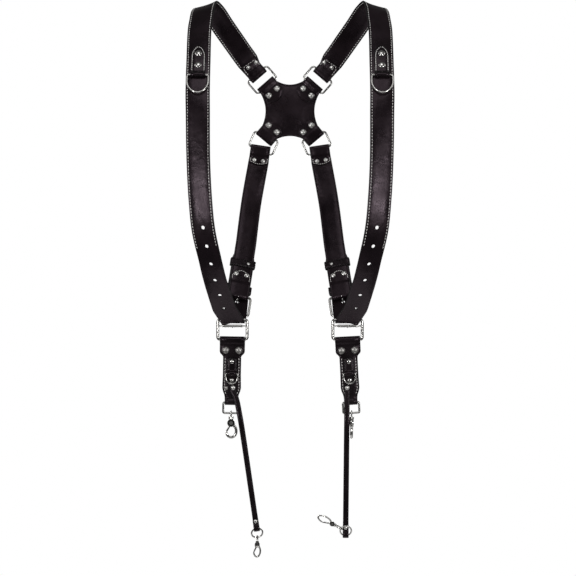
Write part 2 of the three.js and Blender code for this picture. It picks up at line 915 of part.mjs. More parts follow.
// Places along a route, measured back from its end.
function placesFromEnd(stations, distances) {
  const found = [];
  let passed = 0;
  for (let i = stations.length - 1; i > 0; i -= 1) {
    const step = stations[i].place.clone().sub(stations[i - 1].place);
    distances.forEach((distance) => {
      if (distance >= passed && distance < passed + step.length()) {
        const back = step.clone().normalize();
        const place = stations[i].place.clone().addScaledVector(back, passed - distance);
        found.push({ place, along: back, across: stations[i].across });
      }
    });
    passed += step.length();
  }
  return found;
}

function shoulderStrap() {
  const { down, bend, tail } = shoulderRoute();
  const end = foldedEnd(strapEndFold);
  const whole = join(
    ribbon([...down, ...bend, ...tail], strapThickness),
    inFrame(strapEndFrame, end.block),
    inFrame(strapEndFrame, end.flap),
  );
  const distances = Array.from({ length: adjustHoleCount }, (_, i) => lowestAdjustHole + i * adjustHolePitch);
  const frontHoles = placesFromEnd([...down, bend[0]], distances);
  const tailAcross = axisOf(buckleFrame, 0);
  const tailAlong = axisOf(buckleFrame, 1);
  const upTail = [tongueCrossing + adjustHolePitch, tongueCrossing + 2 * adjustHolePitch];
  const tailHoles = upTail.map((up) => ({
    place: pointIn(buckleFrame, 0, up, tailBehindBar),
    along: tailAlong,
    across: tailAcross,
  }));
  const slope = tail[1].place.clone().sub(tail[0].place).normalize();
  const crossing = tail[0].place.clone().lerp(
    tail[1].place,
    (tongueCrossing + buckleLength) / (buckleLength - tailTurn),
  );
  tailHoles.push({ place: crossing, along: slope, across: tailAcross });
  const holes = [...frontHoles, ...tailHoles].map((hole) =>
    holeAt(hole.place, hole.along, hole.across, adjustHoleRadius),
  );
  return cut(whole, inFrame(strapEndFrame, end.hollow), ...holes);
}

// Chest patch, which follows the strap's bend

// The strap's place, direction and face at a distance from the end of a route.
function onRoute(stations, distance) {
  const [found] = placesFromEnd(stations, [distance]);
  const across = found.across.clone().addScaledVector(found.along, -found.across.dot(found.along)).normalize();
  return { ...found, across, outer: found.along.clone().cross(across) };
}

function distanceAtDrop(stations, drop) {
  let below = 0;
  for (let i = stations.length - 1; i > 0; i -= 1) {
    const low = stations[i].place;
    const high = stations[i - 1].place;
    if (-low.z >= drop && -high.z < drop) {
      return below + (low.distanceTo(high) * (-low.z - drop)) / (high.z - low.z);
    }
    below += low.distanceTo(high);
  }
  return below;
}

const chestFold = {
  width: patchWidth,
  layer: patchThickness,
  wire: dRingWire,
  flap: 12,
  flatBack: true,
};
const chestRoute = shoulderRoute().down;
const patchAt = distanceAtDrop(chestRoute, patchDrop);

function patchBarFrame() {
  const spot = onRoute(chestRoute, patchAt);
  const lift = strapThickness / 2 + seat + foldedEnd(chestFold).half;
  return frameAt(spot.place.clone().addScaledVector(spot.outer, lift), spot.along.clone().negate(), spot.outer);
}

const patchFrame = patchBarFrame();

function chestPatch() {
  const end = foldedEnd(chestFold);
  const lift = strapThickness / 2 + seat + patchThickness;
  const shares = [0, 0.2, 0.4, 0.6, 0.72, 0.84, 0.93, 1];
  const widths = [1, 1, 1, 1, 0.97, 0.82, 0.55, 0.2];
  const reach = patchLength - end.slopeTo;
  const stations = shares.map((share, i) => {
    const spot = onRoute(chestRoute, patchAt + end.slopeTo + share * reach);
    return {
      place: spot.place.clone().addScaledVector(spot.outer, lift),
      across: spot.across,
      width: (patchWidth - 0.4) * widths[i],
    };
  });
  const body = ribbon(stations, 2 * patchThickness);
  return cut(join(body, inFrame(patchFrame, end.block)), inFrame(patchFrame, end.hollow));
}

// Slider ring with its middle bar

function sliderRing() {
  const width = sliderInnerWidth + sliderWire;
  const radius = sliderWire / 2;
  const outline = roundedRectangle(width, sliderHeight, sliderCorner, 2).map(
    (point) => new THREE.Vector2(point.x, point.y - sliderHeight / 2),
  );
  const half = width / 2;
  const tip = 0.35 * radius;
  const bar = loft(
    [
      { x: -half, r: tip },
      { x: -half + 1.4 * sliderWire, r: tip },
      { x: -half + 2 * sliderWire, r: 0.9 * radius },
      { x: half - 2 * sliderWire, r: 0.9 * radius },
      { x: half - 1.4 * sliderWire, r: tip },
      { x: half, r: tip },
    ].map(({ x, r }) =>
      arc(0, 0, r, 22.5, 337.5, 7).map((point) => vec(x, point.x - sliderMiddleDrop, point.y)),
    ),
  );
  const nib = new THREE.SphereGeometry(0.5 * radius, 8, 6).translate(0, -sliderMiddleDrop - 0.95 * radius, 0);
  return join(flatWire(outline, radius), bar, nib);
}

// Drop tab

const tabTopFold = {
  width: tabHeadWidth,
  layer: tabThickness,
  wire: sliderWire,
  flap: tabHeadLength,
};
const tabFootFold = {
  width: tabFootWidth,
  layer: tabThickness,
  wire: linkWire,
  flap: 14,
};

// The frames of a tab that leans outwards from the slider ring's lower bar.
function dropFrames(lean) {
  const down = vec(Math.sin(degrees(lean)), 0, -Math.cos(degrees(lean)));
  const tab = frameAt(vec(ringOut, ringDepth, -frontDrop - sliderHeight), down, front);
  const up = down.clone().negate();
  return {
    tab,
    linkTop: frameAt(pointIn(tab, 0, tabLength, 0), up, front),
    patch: frameAt(pointIn(tab, 0, dropPatchDrop, dropPatchLift), up, front),
  };
}

function tabOutline(top, foot) {
  const rows = [
    { down: top, half: tabHeadWidth / 2 - 0.2 },
    { down: tabHeadLength, half: tabHeadWidth / 2 - 0.2 },
    { down: tabHeadLength * 1.4, half: tabBodyWidth / 2 },
    { down: tabLength * 0.58, half: tabBodyWidth / 2 },
    { down: tabLength * 0.77, half: tabHipWidth / 2 },
    { down: tabLength * 0.91, half: tabFootWidth / 2 + 0.6 },
    { down: foot, half: tabFootWidth / 2 - 0.2 },
  ];
  const right = rows.map((row) => new THREE.Vector2(row.half, row.down));
  return [...right, ...right.map(mirrored).reverse()];
}

function dropTab(frames, lean) {
  const top = foldedEnd({ ...tabTopFold, skew: degrees(-lean) });
  const foot = foldedEnd(tabFootFold);
  const outline = tabOutline(top.joinAt, tabLength - foot.joinAt);
  const holes = [-1, 1].map((side) =>
    rivetHole((side * tabRivetSpacing) / 2, tabRivetDrop, tabThickness, -tabThickness),
  );
  const whole = join(
    inFrame(frames.tab, slab(outline, -tabThickness, tabThickness)),
    inFrame(frames.tab, top.block),
    inFrame(frames.linkTop, foot.block),
  );
  return cut(
    whole,
    inFrame(frames.tab, top.hollow),
    inFrame(frames.linkTop, foot.hollow),
    ...holes.map((hole) => inFrame(frames.tab, hole)),
  );
}

const dropPatchFold = {
  width: dropPatchWidth,
  layer: patchThickness,
  wire: dropRingWire,
  flap: dropPatchLength,
  rise: 3,
  flatBack: true,
};
const dropPatchLift = tabThickness + seat + foldedEnd(dropPatchFold).half;

function dropPatch() {
  const end = foldedEnd(dropPatchFold);
  return cut(join(end.block, end.flap), end.hollow);
}

function dropLink() {
  const outline = roundedRectangle(linkWidth, linkHeight, linkCorner, 2).map(
    (point) => new THREE.Vector2(point.x, point.y - linkHeight / 2),
  );
  return flatWire(outline, linkWire / 2);
}

// Swivel hooks. The local origin is the middle of the bar that the eye hangs on, and the swivel's
// axis is the local up direction.

function hookLevels(hook, barWire) {
  const loopTop = barWire / 2 + seat + hook.eyeWire / 2;
  const loopBottom = loopTop - (hook.eyeHeight - hook.eyeWire);
  const shoulder = loopBottom - hook.eyeWire / 2;
  const barrelTop = shoulder - seat;
  const headTop = shoulder - hook.studLength;
  const cavityTop = headTop + seat;
  const headBottom = headTop - hook.studHeadHeight;
  const cavityBottom = headBottom - seat;
  const barrelBottom = cavityBottom - hook.barrelFloor;
  const boss = barrelBottom - 0.8 * hook.bossRadius;
  const bowDepth = hook.bowRadius * hook.bowStretch;
  const bowMiddle = boss - 0.5 * hook.bossRadius - bowDepth;
  return {
    loopTop,
    loopBottom,
    shoulder,
    barrelTop,
    cavityTop,
    headTop,
    headBottom,
    cavityBottom,
    barrelBottom,
    boss,
    bowDepth,
    bowMiddle,
  };
}

function upright(radius, bottom, top, sides = 12) {
  return new THREE.CylinderGeometry(radius, radius, top - bottom, sides).translate(0, (top + bottom) / 2, 0);
}

function swivelEye(hook, barWire) {
  const at = hookLevels(hook, barWire);
  const width = hook.eyeWidth - hook.eyeWire;
  const height = hook.eyeHeight - hook.eyeWire;
  const outline = roundedRectangle(width, height, 0.45 * width, 2).map(
    (point) => new THREE.Vector2(point.x, point.y + (at.loopTop + at.loopBottom) / 2),
  );
  return join(
    flatWire(outline, hook.eyeWire / 2),
    upright(hook.studRadius, at.headTop - 0.1, at.loopBottom, 8),
    upright(hook.studHeadRadius, at.headBottom, at.headTop, 8),
  );
}

const bowStart = 115;
const bowEnd = 350;

function bowPoint(hook, at, angle) {
  const turn = degrees(angle);
  return vec(hook.bowRadius * Math.cos(turn), at.bowMiddle + at.bowDepth * Math.sin(turn), 0);
}

function snapHook(hook, barWire) {
  const at = hookLevels(hook, barWire);
  const thick = hook.bossThickness / 2;
  const root = 0.8 * hook.gateWidth;
  const slotHalf = hook.gateThickness / 2 + holeClearance;
  const boss = pinAlongFacing(0, at.boss, hook.bossRadius, -thick, thick, 14);
  const barrel = upright(hook.barrelRadius, at.boss, at.barrelTop, 10);
  const steps = 9;
  const bowPath = Array.from({ length: steps + 1 }, (_, i) =>
    bowPoint(hook, at, bowStart + ((bowEnd - bowStart) * i) / steps),
  );
  const cavity = upright(hook.studHeadRadius + holeClearance, at.cavityBottom, at.cavityTop, 8);
  const bore = upright(hook.studRadius + holeClearance, at.cavityTop - 0.1, at.barrelTop + 1, 8);
  const slot = boxBetween(
    vec(-root - seat, at.boss - 1.3 * hook.bossRadius, -slotHalf),
    vec(1.2 * hook.bossRadius, at.boss + root + seat, slotHalf),
  );
  const solid = cut(
    join(boss, barrel, rod(bowPath, vec(0, 0, 1), hook.bowWire / 2, 6)),
    cavity,
    bore,
    slot,
  );
  const pin = pinAlongFacing(0, at.boss, hook.pinRadius, -thick + 0.1, thick - 0.1, 8);
  return join(solid, pin);
}

function snapGate(hook, barWire) {
  const at = hookLevels(hook, barWire);
  const pivot = vec(0, at.boss, 0);
  const tip = bowPoint(hook, at, bowEnd);
  const along = tip.clone().sub(pivot);
  const length = along.length() - 0.5 * hook.gateWidth - seat;
  const half = hook.gateThickness / 2;
  const side = hook.gateWidth / 2;
  const outline = [
    new THREE.Vector2(0, -side),
    new THREE.Vector2(length, -0.8 * side),
    new THREE.Vector2(length, 0.8 * side),
    new THREE.Vector2(0, side),
  ];
  const bar = slab(outline, -half, half).rotateZ(Math.atan2(along.y, along.x)).translate(0, pivot.y, 0);
  const root = pinAlongFacing(0, pivot.y, 0.8 * hook.gateWidth, -half, half, 10);
  const hole = pinAlongFacing(0, pivot.y, hook.pinRadius + holeClearance, -half - 1, half + 1, 8);
  return cut(join(bar, root), hole);
}

// Tether

const tetherFold = {
  width: tetherWidth,
  layer: tetherThickness,
  wire: tetherRingWire,
  play: tetherPlay,
  flap: tetherFlap,
  rise: 3,
};

const tetherLie = tabThickness + seat + tetherThickness / 2;

// The middle of a tether's fold, and a point above it by a share of the way from its top.
function tetherPoint(tab, side, row) {
  const top = pointIn(tab, side.tetherInset, tetherTop, tetherLie);
  return vec(
    top.x + row.across * (side.out - top.x),
    top.y - row.forward * tetherForward,
    top.z + row.down * (-side.drop - top.z),
  );
}

function tetherEndFrame(tab, side) {
  const origin = tetherPoint(tab, side, { across: 1, down: 1, forward: 1 });
  const above = tetherPoint(tab, side, tetherRows[tetherRows.length - 1]);
  return frameAt(origin, above.sub(origin), front);
}

function tetherStrap(tab, side) {
  const frame = tetherEndFrame(tab, side);
  const fold = foldedEnd(tetherFold);
  const across = axisOf(tab, 0).negate();
  const footAcross = axisOf(frame, 0);
  const width = tetherWidth - 0.5;
  const onTab = (down, share) => ({
    place: pointIn(tab, side.tetherInset, tetherTop + down, tetherLie),
    across,
    width: width * share,
  });
  const stations = [
    onTab(-0.42 * tetherWidth, 0.4),
    onTab(-0.21 * tetherWidth, 0.85),
    onTab(0, 1),
    onTab(0.5 * tetherWidth, 1),
    ...tetherRows.map((row) => ({ place: tetherPoint(tab, side, row), across: footAcross, width })),
    { place: pointIn(frame, 0, fold.joinAt, -tetherThickness / 2), across: footAcross, width },
  ];
  const body = ribbon(smooth(stations, 2), tetherThickness);
  const whole = join(body, inFrame(frame, fold.block), inFrame(frame, fold.flap));
  return cut(whole, inFrame(frame, fold.hollow));
}

function tetherRingFrame(tab, side) {
  const swing = degrees(side.ringSwing);
  const fold = tetherEndFrame(tab, side);
  const away = vec(0, -Math.cos(swing), Math.sin(swing)).transformDirection(fold);
  const up = away.clone().negate();
  const centre = pointIn(fold, 0, 0, 0).addScaledVector(away, tetherRingRadius - tetherRingSag);
  return frameAt(centre, up, axisOf(fold, 0).cross(up));
}

function tetherRing() {
  return flatWire(arc(0, 0, tetherRingRadius, 0, 360 - 360 / 16, 15), tetherRingWire / 2);
}

// The frames of the hook's eye and of its body on the tether's ring.
function tetherHookFrames(ring, side) {
  const turn = degrees(-90 - side.around);
  const out = vec(Math.cos(turn), Math.sin(turn), 0);
  const origin = out.clone().multiplyScalar(tetherRingRadius).applyMatrix4(ring);
  const tangent = vec(-Math.sin(turn), Math.cos(turn), 0).transformDirection(ring);
  const lean = degrees(side.lean);
  const leaning = vec(0, Math.sin(lean), Math.cos(lean));
  const up = side.lean > 0 ? leaning : out.clone().transformDirection(ring).negate();
  return { eye: frameAt(origin, up, tangent), body: frameAt(origin, up, front) };
}

// Assembly

function material(look) {
  return new THREE.MeshStandardMaterial(look);
}

function addTo(group, name, geometry, look, frame = new THREE.Matrix4()) {
  const mesh = new THREE.Mesh(geometry, material(look));
  mesh.name = name;
  mesh.applyMatrix4(frame);
  group.add(mesh);
}

function buildSide(side, sign) {
  const group = new THREE.Group();
  group.scale.set(sign, 1, 1);
  const add = (name, geometry, look, frame) => addTo(group, `${side}_${name}`, geometry, look, frame);

  add("shoulder_strap", shoulderStrap(), leather);
  add("upper_ring", backRing(), nickel, upperRingFrame);
  add("lower_ring", backRing(), nickel, lowerRingFrame);
  add("back_strap", backStrap(), leather);
  add("buckle_frame", buckleLoop(), nickel, buckleFrame);
  add("buckle_tongue", tongue(), nickel, buckleFrame);
  const keeperWidth = strapWidth + 1;
  const fixedInside = tailBehindBar - strapThickness / 2 - seat;
  const fixedKeeper = keeper(keeperWidth, fixedInside, -keeperThickness / 2).translate(0, fixedKeeperUp, 0);
  add("fixed_keeper", fixedKeeper, darkLeather, buckleFrame);
  const slidingInside = tailBehindStrap - strapThickness / 2 - seat;
  const slidingKeeper = keeper(keeperWidth, slidingInside, seat).translate(0, slidingKeeperUp, 0);
  add("sliding_keeper", slidingKeeper, darkLeather, buckleFrame);

  add("chest_patch", chestPatch(), darkLeather);
  add("chest_d_ring", dRing(dRingWidth, dRingHeight, dRingWire), nickel, patchFrame);
  add("slider_ring", sliderRing(), nickel, sliderFrame);

  const hang = sides[side];
  const frames = dropFrames(hang.tabLean);
  add("drop_tab", dropTab(frames, hang.tabLean), leather);
  add("drop_patch", dropPatch(), darkLeather, frames.patch);
  add("drop_d_ring", dRing(dropRingWidth, dropRingHeight, dropRingWire), nickel, frames.patch);
  add("drop_link", dropLink(), nickel, frames.linkTop);

  const outwards = vec(1, 0, 0);
  const hookOrigin = pointIn(frames.linkTop, 0, -linkHeight, 0);
  const eyeFrame = frameAt(hookOrigin, upward, outwards);
  const hookFrame = frameAt(hookOrigin, upward, side === "left" ? front : outwards);
  add("hook_swivel", swivelEye(dropHook, linkWire), nickel, eyeFrame);
  add("snap_hook", snapHook(dropHook, linkWire), nickel, hookFrame);
  add("snap_gate", snapGate(dropHook, linkWire), nickel, hookFrame);

  const ring = tetherRingFrame(frames.tab, hang);
  const clasp = tetherHookFrames(ring, hang);
  add("tether_strap", tetherStrap(frames.tab, hang), darkLeather);
  add("tether_ring", tetherRing(), nickel, ring);
  add("clasp_swivel", swivelEye(tetherHook, tetherRingWire), nickel, clasp.eye);
  add("tether_clasp", snapHook(tetherHook, tetherRingWire), nickel, clasp.body);
  add("clasp_gate", snapGate(tetherHook, tetherRingWire), nickel, clasp.body);

  plateRivetPlaces.forEach(({ frame, up }, row) => {
    [-1, 1].forEach((at, i) => {
      const place = new THREE.Matrix4().makeTranslation((at * plateRivetSpacing) / 2, up, 0);
      const name = `${row === 0 ? "upper" : "lower"}_plate_rivet_${i + 1}`;
      const geometry = rivet(plateRivetRadius, plateThickness, -plateThickness);
      add(name, geometry, nickel, frame.clone().multiply(place));
    });
  });
  [-1, 1].forEach((at, i) => {
    const place = new THREE.Matrix4().makeTranslation((at * tabRivetSpacing) / 2, tabRivetDrop, 0);
    const geometry = rivet(tabRivetRadius, tabThickness, -tabThickness);
    add(`tab_rivet_${i + 1}`, geometry, darkSilver, frames.tab.clone().multiply(place));
  });
  return group;
}

addTo(harness, "back_plate", backPlate(), leather);
harness.add(buildSide("right", 1), buildSide("left", -1));

export default harness;
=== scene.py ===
"""The looks of a leather harness with a hook and a safety tether on each side, in its worn form.

Sizes are in millimetres in the harness's own frame, +Z up and +Y towards its back, and turn to metres
where a mesh is made. Each side is shaped at +X, and the left one is mirrored.
"""

import math
from collections import namedtuple
from types import SimpleNamespace

import bmesh
import bpy
from mathutils import Matrix, Vector, noise


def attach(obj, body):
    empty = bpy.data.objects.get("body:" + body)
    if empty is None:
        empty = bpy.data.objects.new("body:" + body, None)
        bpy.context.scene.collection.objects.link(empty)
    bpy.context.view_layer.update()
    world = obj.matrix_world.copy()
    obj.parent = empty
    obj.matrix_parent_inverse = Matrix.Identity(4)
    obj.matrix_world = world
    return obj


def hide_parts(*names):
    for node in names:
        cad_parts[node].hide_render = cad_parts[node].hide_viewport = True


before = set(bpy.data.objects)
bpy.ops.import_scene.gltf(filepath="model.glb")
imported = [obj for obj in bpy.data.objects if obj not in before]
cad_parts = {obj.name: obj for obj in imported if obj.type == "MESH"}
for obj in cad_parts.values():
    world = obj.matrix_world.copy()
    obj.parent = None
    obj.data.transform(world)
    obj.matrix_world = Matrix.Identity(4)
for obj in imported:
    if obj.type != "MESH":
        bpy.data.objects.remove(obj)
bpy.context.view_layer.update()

MM = 0.001

# Leather
STRAP_WIDTH = 38
STRAP_THICK = 3
STRAP_END_WIDTH = 32
STRAP_ROOT_WIDTH = 31.4
BACK_STRAP_WIDTH = 35
BACK_STRAP_THICK = 2.4
PLATE_THICK = 2.6
TAB_THICK = 2.2
PATCH_THICK = 1.6
KEEPER_THICK = 2
KEEPER_HEIGHT = 13
TETHER_WIDTH = 9.5
TETHER_THICK = 2
SEAT = 0.3
WIRE_CLEARANCE = 0.4
FOLD_GAP = 0.08
CREASE = 2.9

# Thread: how far apart the holes are, and how much of each stitch shows
STITCH_PITCH = 4.7
STITCH_LENGTH = 3.5
STITCH_WIDE = 1.1
STITCH_HIGH = 0.75

# Seams with shorter stitches: how far apart the holes are and how far from the edge
STRAP_END_SEAM = (3.6, 2.6)
CHEST_PATCH_SEAM = (3.4, 2.2)
DROP_PATCH_SEAM = (3.2, 1.9)
TAB_SEAM = (4.6, 3.4)
LOWEST_STITCH = 398

# Rivet caps: their radius on the seen face and on the back
PLATE_CAPS = (5, 4)
STRAP_END_CAPS = (3.6, 3.4)
CHEST_CAP = 5.4
BACK_STRAP_TOP_CAPS = (3.6, 3.6)
BUCKLE_FLAP_CAPS = (4.2, 4.2)
KEEPER_CAP = 2.6
TAB_CAPS = (5.8, 4.6)
SMALL_TAB_CAPS = (3.6, 3.2)
TETHER_END_CAPS = (3.1, 2.8)

# Rivets: places across and how far up from the fold or the joint
STRAP_END_RIVETS = ((-10.5, 5.5), 18.5)
BACK_STRAP_TOP_RIVETS = (7.5, 17.5)
BUCKLE_FLAP_RIVETS = (9, 38)
UPPER_PLATE_RIVETS_UP = 14
LOWER_PLATE_RIVETS_UP = 16
CHEST_RIVETS_UP = (17, 38)
DROP_PATCH_RIVETS = (19.5, 11)
TETHER_RIVET_UP = 12.5

# Worn form
SHOULDER_OUT = 137
CHEST_OUT = 144
RING_OUT = 94
CHEST_DEPTH = 102
BACK_DEPTH = 95
RING_DEPTH = -5
FRONT_DROP = 512.3

# Back plate and its rings, which are placed by how far out, how far down and the angle of their bars
PLATE_DROP = 155
PLATE_HALF_WAIST = 42.2
PLATE_TOP_RISE = 45.2
PLATE_BOTTOM_FALL = 43.5
PLATE_ARM_WIDTH = 35
BACK_WIRE = 3.2
BACK_RING_WIDTH = 44
BACK_RING_SPACING = 27.5
UPPER_RING = (47.75, 102, 49)
LOWER_RING = (45.7, 211, 114)
LOWER_ARM_LEAN = 130
BACK_STRAP_LEAN = 98.5
PLATE_RIVET_SPACING = 18.5

# Buckle: how far it leans in and back and is turned inwards, in degrees
BUCKLE_PLACE = (86.4, 24, -473.6)
BUCKLE_LEAN = (7.5, 20.5, 10)
BUCKLE_WIRE = 4
BUCKLE_INNER = 40
BUCKLE_LENGTH = 32
TONGUE_WIRE = 2.4
TONGUE_CROSSING = -9.5
STRAIGHT_ABOVE_BUCKLE = 95
TAIL_LENGTH = 82
FIXED_KEEPER_UP = 13
SLIDING_KEEPER_UP = 59

# Slider ring and the strap's holes
SLIDER_WIRE = 5
SLIDER_INNER = 43
SLIDER_MIDDLE = 10.1
SLIDER_HEIGHT = 32
HOLE_RADIUS = 3
HOLE_PITCH = 30
HOLE_COUNT = 6
LOWEST_HOLE = 33

# Chest patch, drop tab and their rings
PATCH_DROP = 128.8
PATCH_WIDTH = 23.4
PATCH_LENGTH = 54
CHEST_TIP_INSET = 3.5
CHEST_RING = (36, 31.4, 3)
TAB_LENGTH = 103
TAB_HEAD_LENGTH = 20
TAB_RIVET_DROP = 17.8
TAB_RIVET_SPACING = 21.2
DROP_PATCH_DROP = 55.7
DROP_RING = (22, 17.4, 2.6)
LINK_WIRE = 3.4
LINK_WIDTH = 26.4
LINK_HEIGHT = 17.5

# Tether
TETHER_TOP = 79
TETHER_FORWARD = 9.5
TETHER_RING_RADIUS = 9
TETHER_RING_WIRE = 2.4
TETHER_RING_SAG = 0.7

# How each side hangs: the tab's lean, the tether's place, its ring's swing and the clasp's lean
SIDES = [
    SimpleNamespace(
        prefix="left_", sign=-1, lean=1, inset=2.5, out=54, drop=851, ring_swing=50, around=0,
        hook_lean=58,
    ),
    SimpleNamespace(
        prefix="right_", sign=1, lean=3, inset=5, out=90.3, drop=861.5, ring_swing=160, around=60,
        hook_lean=0,
    ),
]
MIDDLE = SimpleNamespace(prefix="", sign=1)
# The tether's knee: shares of the way down, across and to the front
TETHER_ROWS = [(0.075, 0.135, 0.28), (0.21, 0.31, 1), (0.352, 0.444, 1)]

# Hooks: their bar's wire, then (width, height, wire) or (radius, height) pairs from the eye down
DROP_HOOK = SimpleNamespace(
    names=("hook_swivel", "snap_hook", "snap_gate"), bodies=("drop_hook", "hook_gate"), bar=LINK_WIRE,
    eye=(9.8, 9.4, 2.6), stud=(1.4, 3), stud_head=1.4, barrel=(4.2, 1.2), boss=(6.4, 7),
    bow=(8.2, 1.25, 4.4), gate=(2.6, 3.2),
)
TETHER_HOOK = SimpleNamespace(
    names=("clasp_swivel", "tether_clasp", "clasp_gate"), bodies=("tether_hook", "tether_gate"),
    bar=TETHER_RING_WIRE,
    eye=(7.4, 13, 2), stud=(0.9, 2.3), stud_head=0.9, barrel=(2.8, 0.8), boss=(4, 4.6),
    bow=(5.2, 2.3, 2.6), gate=(1.4, 2.4),
)

# The strap down the chest: shares of the drop, of the way out and of the depth, then roll and yaw
FRONT_ROWS = [
    (0.0166, 0.94, 0.18, 15, 0),
    (0.0568, 0.984, 0.335, 9, 0),
    (0.0937, 1.01, 0.45, 4, 0),
    (0.198, 1.0, 0.725, 0, 0),
    (0.302, 1.0, 0.882, 0, 0),
    (0.358, 0.988, 0.93, 0, 5),
    (0.511, 0.962, 0.99, 0, 13),
    (0.632, 0.898, 1.0, 2, 14),
    (0.723, 0.808, 0.961, 6, 14),
    (0.813, 0.62, 0.824, 10, 20),
    (0.874, 0.49, 0.647, 14, 22),
    (0.92, 0.36, 0.48, 14, 14),
    (0.9615, 0.25, 0.284, 8, 5),
]
# The strap over the back: shares of the way up, across and of the depth, then roll and width
BACK_ROWS = [
    (0.1, 0.1, 1.01, 41, 0.85),
    (0.225, 0.2, 0.95, 39, 1),
    (0.36, 0.325, 0.86, 37, 1),
    (0.49, 0.446, 0.73, 36, 1),
    (0.735, 0.677, 0.47, 31, 1),
    (0.93, 0.86, 0.21, 24, 1),
]

FRONT = Vector((0, -1, 0))
UP = Vector((0, 0, 1))
SIDEWAYS = Vector((1, 0, 0))


# Materials


def linear(colour):
    """A hex colour as the eye reads it, turned to linear light."""
    shares = [int(colour[i : i + 2], 16) / 255 for i in (1, 3, 5)]
    return [*(c / 12.92 if c <= 0.04045 else ((c + 0.055) / 1.055) ** 2.4 for c in shares), 1]


def add_node(tree, kind, inputs=None, **settings):
    node = tree.nodes.new(kind)
    for name, value in settings.items():
        setattr(node, name, value)
    for name, value in (inputs or {}).items():
        if isinstance(value, bpy.types.NodeSocket):
            tree.links.new(value, node.inputs[name])
        else:
            node.inputs[name].default_value = value
    return node


def new_material(name):
    made = bpy.data.materials.new(name)
    made.use_nodes = True
    tree = made.node_tree
    tree.nodes.clear()
    place = add_node(tree, "ShaderNodeTexCoord").outputs["Object"]
    return made, tree, place


def finish_material(tree, surface, bump=None):
    if bump:
        surface["Normal"] = bump.outputs["Normal"]
    shader = add_node(tree, "ShaderNodeBsdfPrincipled", surface)
    add_node(tree, "ShaderNodeOutputMaterial", {"Surface": shader.outputs["BSDF"]})


def per_metre(size):
    """The scale of a pattern whose features are this many millimetres apart."""
    return 1 / (size * MM)


def drum_dyed_leather(name, dark, light, rough):
    """Full-grain cowhide, drum dyed and waxed: fine pebbled grain, cloudy dye and a soft sheen.

    The real grain is near 0.6 mm and is drawn at about twice that, so that it shows.
    """
    made, tree, place = new_material(name)
    cloud = add_node(
        tree, "ShaderNodeTexNoise", {"Vector": place, "Scale": per_metre(34), "Detail": 5.0}
    )
    grain = {"Vector": place, "Scale": per_metre(1.3)}
    pebble = add_node(tree, "ShaderNodeTexVoronoi", grain, feature="DISTANCE_TO_EDGE")
    furrow = add_node(
        tree, "ShaderNodeMapRange",
        {"Value": pebble.outputs["Distance"], "From Min": 0.0, "From Max": 0.16},
    )
    pore = add_node(
        tree, "ShaderNodeTexNoise", {"Vector": place, "Scale": per_metre(0.9), "Detail": 3.0}
    )
    dye = add_node(
        tree, "ShaderNodeMapRange",
        {"Value": cloud.outputs["Fac"], "From Min": 0.35, "From Max": 0.68},
    )
    colour = add_node(
        tree, "ShaderNodeMix",
        {"Factor": dye.outputs["Result"], "A": linear(dark), "B": linear(light)},
        data_type="RGBA",
    )
    gloss = add_node(
        tree, "ShaderNodeMapRange",
        {
            "Value": cloud.outputs["Fac"],
            "From Min": 0.3,
            "From Max": 0.7,
            "To Min": rough - 0.07,
            "To Max": rough + 0.08,
        },
    )
    wrinkle = add_node(
        tree, "ShaderNodeTexNoise", {"Vector": place, "Scale": per_metre(11), "Detail": 2.0}
    )
    soft = add_node(
        tree, "ShaderNodeBump",
        {"Height": wrinkle.outputs["Fac"], "Distance": 0.9 * MM, "Strength": 0.5},
    )
    fine = add_node(
        tree, "ShaderNodeBump",
        {
            "Height": pore.outputs["Fac"],
            "Distance": 0.12 * MM,
            "Strength": 0.6,
            "Normal": soft.outputs["Normal"],
        },
    )
    bump = add_node(
        tree, "ShaderNodeBump",
        {
            "Height": furrow.outputs["Result"],
            "Distance": 0.025 * MM,
            "Strength": 0.5,
            "Normal": fine.outputs["Normal"],
        },
    )
    surface = {
        "Base Color": colour.outputs["Result"],
        "Roughness": gloss.outputs["Result"],
        "IOR": 1.37,
        "Specular Tint": linear("#ffe6f5"),
        "Sheen Weight": 0.02,
        "Sheen Roughness": 0.45,
    }
    finish_material(tree, surface, bump)
    return made


def burnished_edge():
    """Cut leather edges sealed with black edge paint: layered fibres under a smooth shine."""
    made, tree, place = new_material("black_edge_paint")
    fibre = add_node(
        tree, "ShaderNodeTexNoise", {"Vector": place, "Scale": per_metre(1.6), "Detail": 4.0}
    )
    bump = add_node(
        tree, "ShaderNodeBump",
        {"Height": fibre.outputs["Fac"], "Distance": 0.15 * MM, "Strength": 0.5},
    )
    gloss = add_node(
        tree, "ShaderNodeMapRange",
        {"Value": fibre.outputs["Fac"], "To Min": 0.3, "To Max": 0.5},
    )
    surface = {
        "Base Color": linear("#0d0b0c"),
        "Roughness": gloss.outputs["Result"],
        "IOR": 1.5,
    }
    finish_material(tree, surface, bump)
    return made


def waxed_thread(name, clean, soiled):
    """Waxed polyester thread, laid in a twist."""
    made, tree, place = new_material(name)
    twist = add_node(
        tree, "ShaderNodeTexWave",
        {"Vector": place, "Scale": per_metre(1.1) / 6, "Distortion": 1.5},
        bands_direction="DIAGONAL",
    )
    soil = add_node(
        tree, "ShaderNodeTexNoise", {"Vector": place, "Scale": per_metre(8), "Detail": 2.0}
    )
    colour = add_node(
        tree, "ShaderNodeMix",
        {"Factor": soil.outputs["Fac"], "A": linear(clean), "B": linear(soiled)},
        data_type="RGBA",
    )
    bump = add_node(
        tree, "ShaderNodeBump",
        {"Height": twist.outputs["Fac"], "Distance": 0.1 * MM, "Strength": 0.6},
    )
    surface = {"Base Color": colour.outputs["Result"], "Roughness": 0.55, "Sheen Weight": 0.2}
    finish_material(tree, surface, bump)
    return made


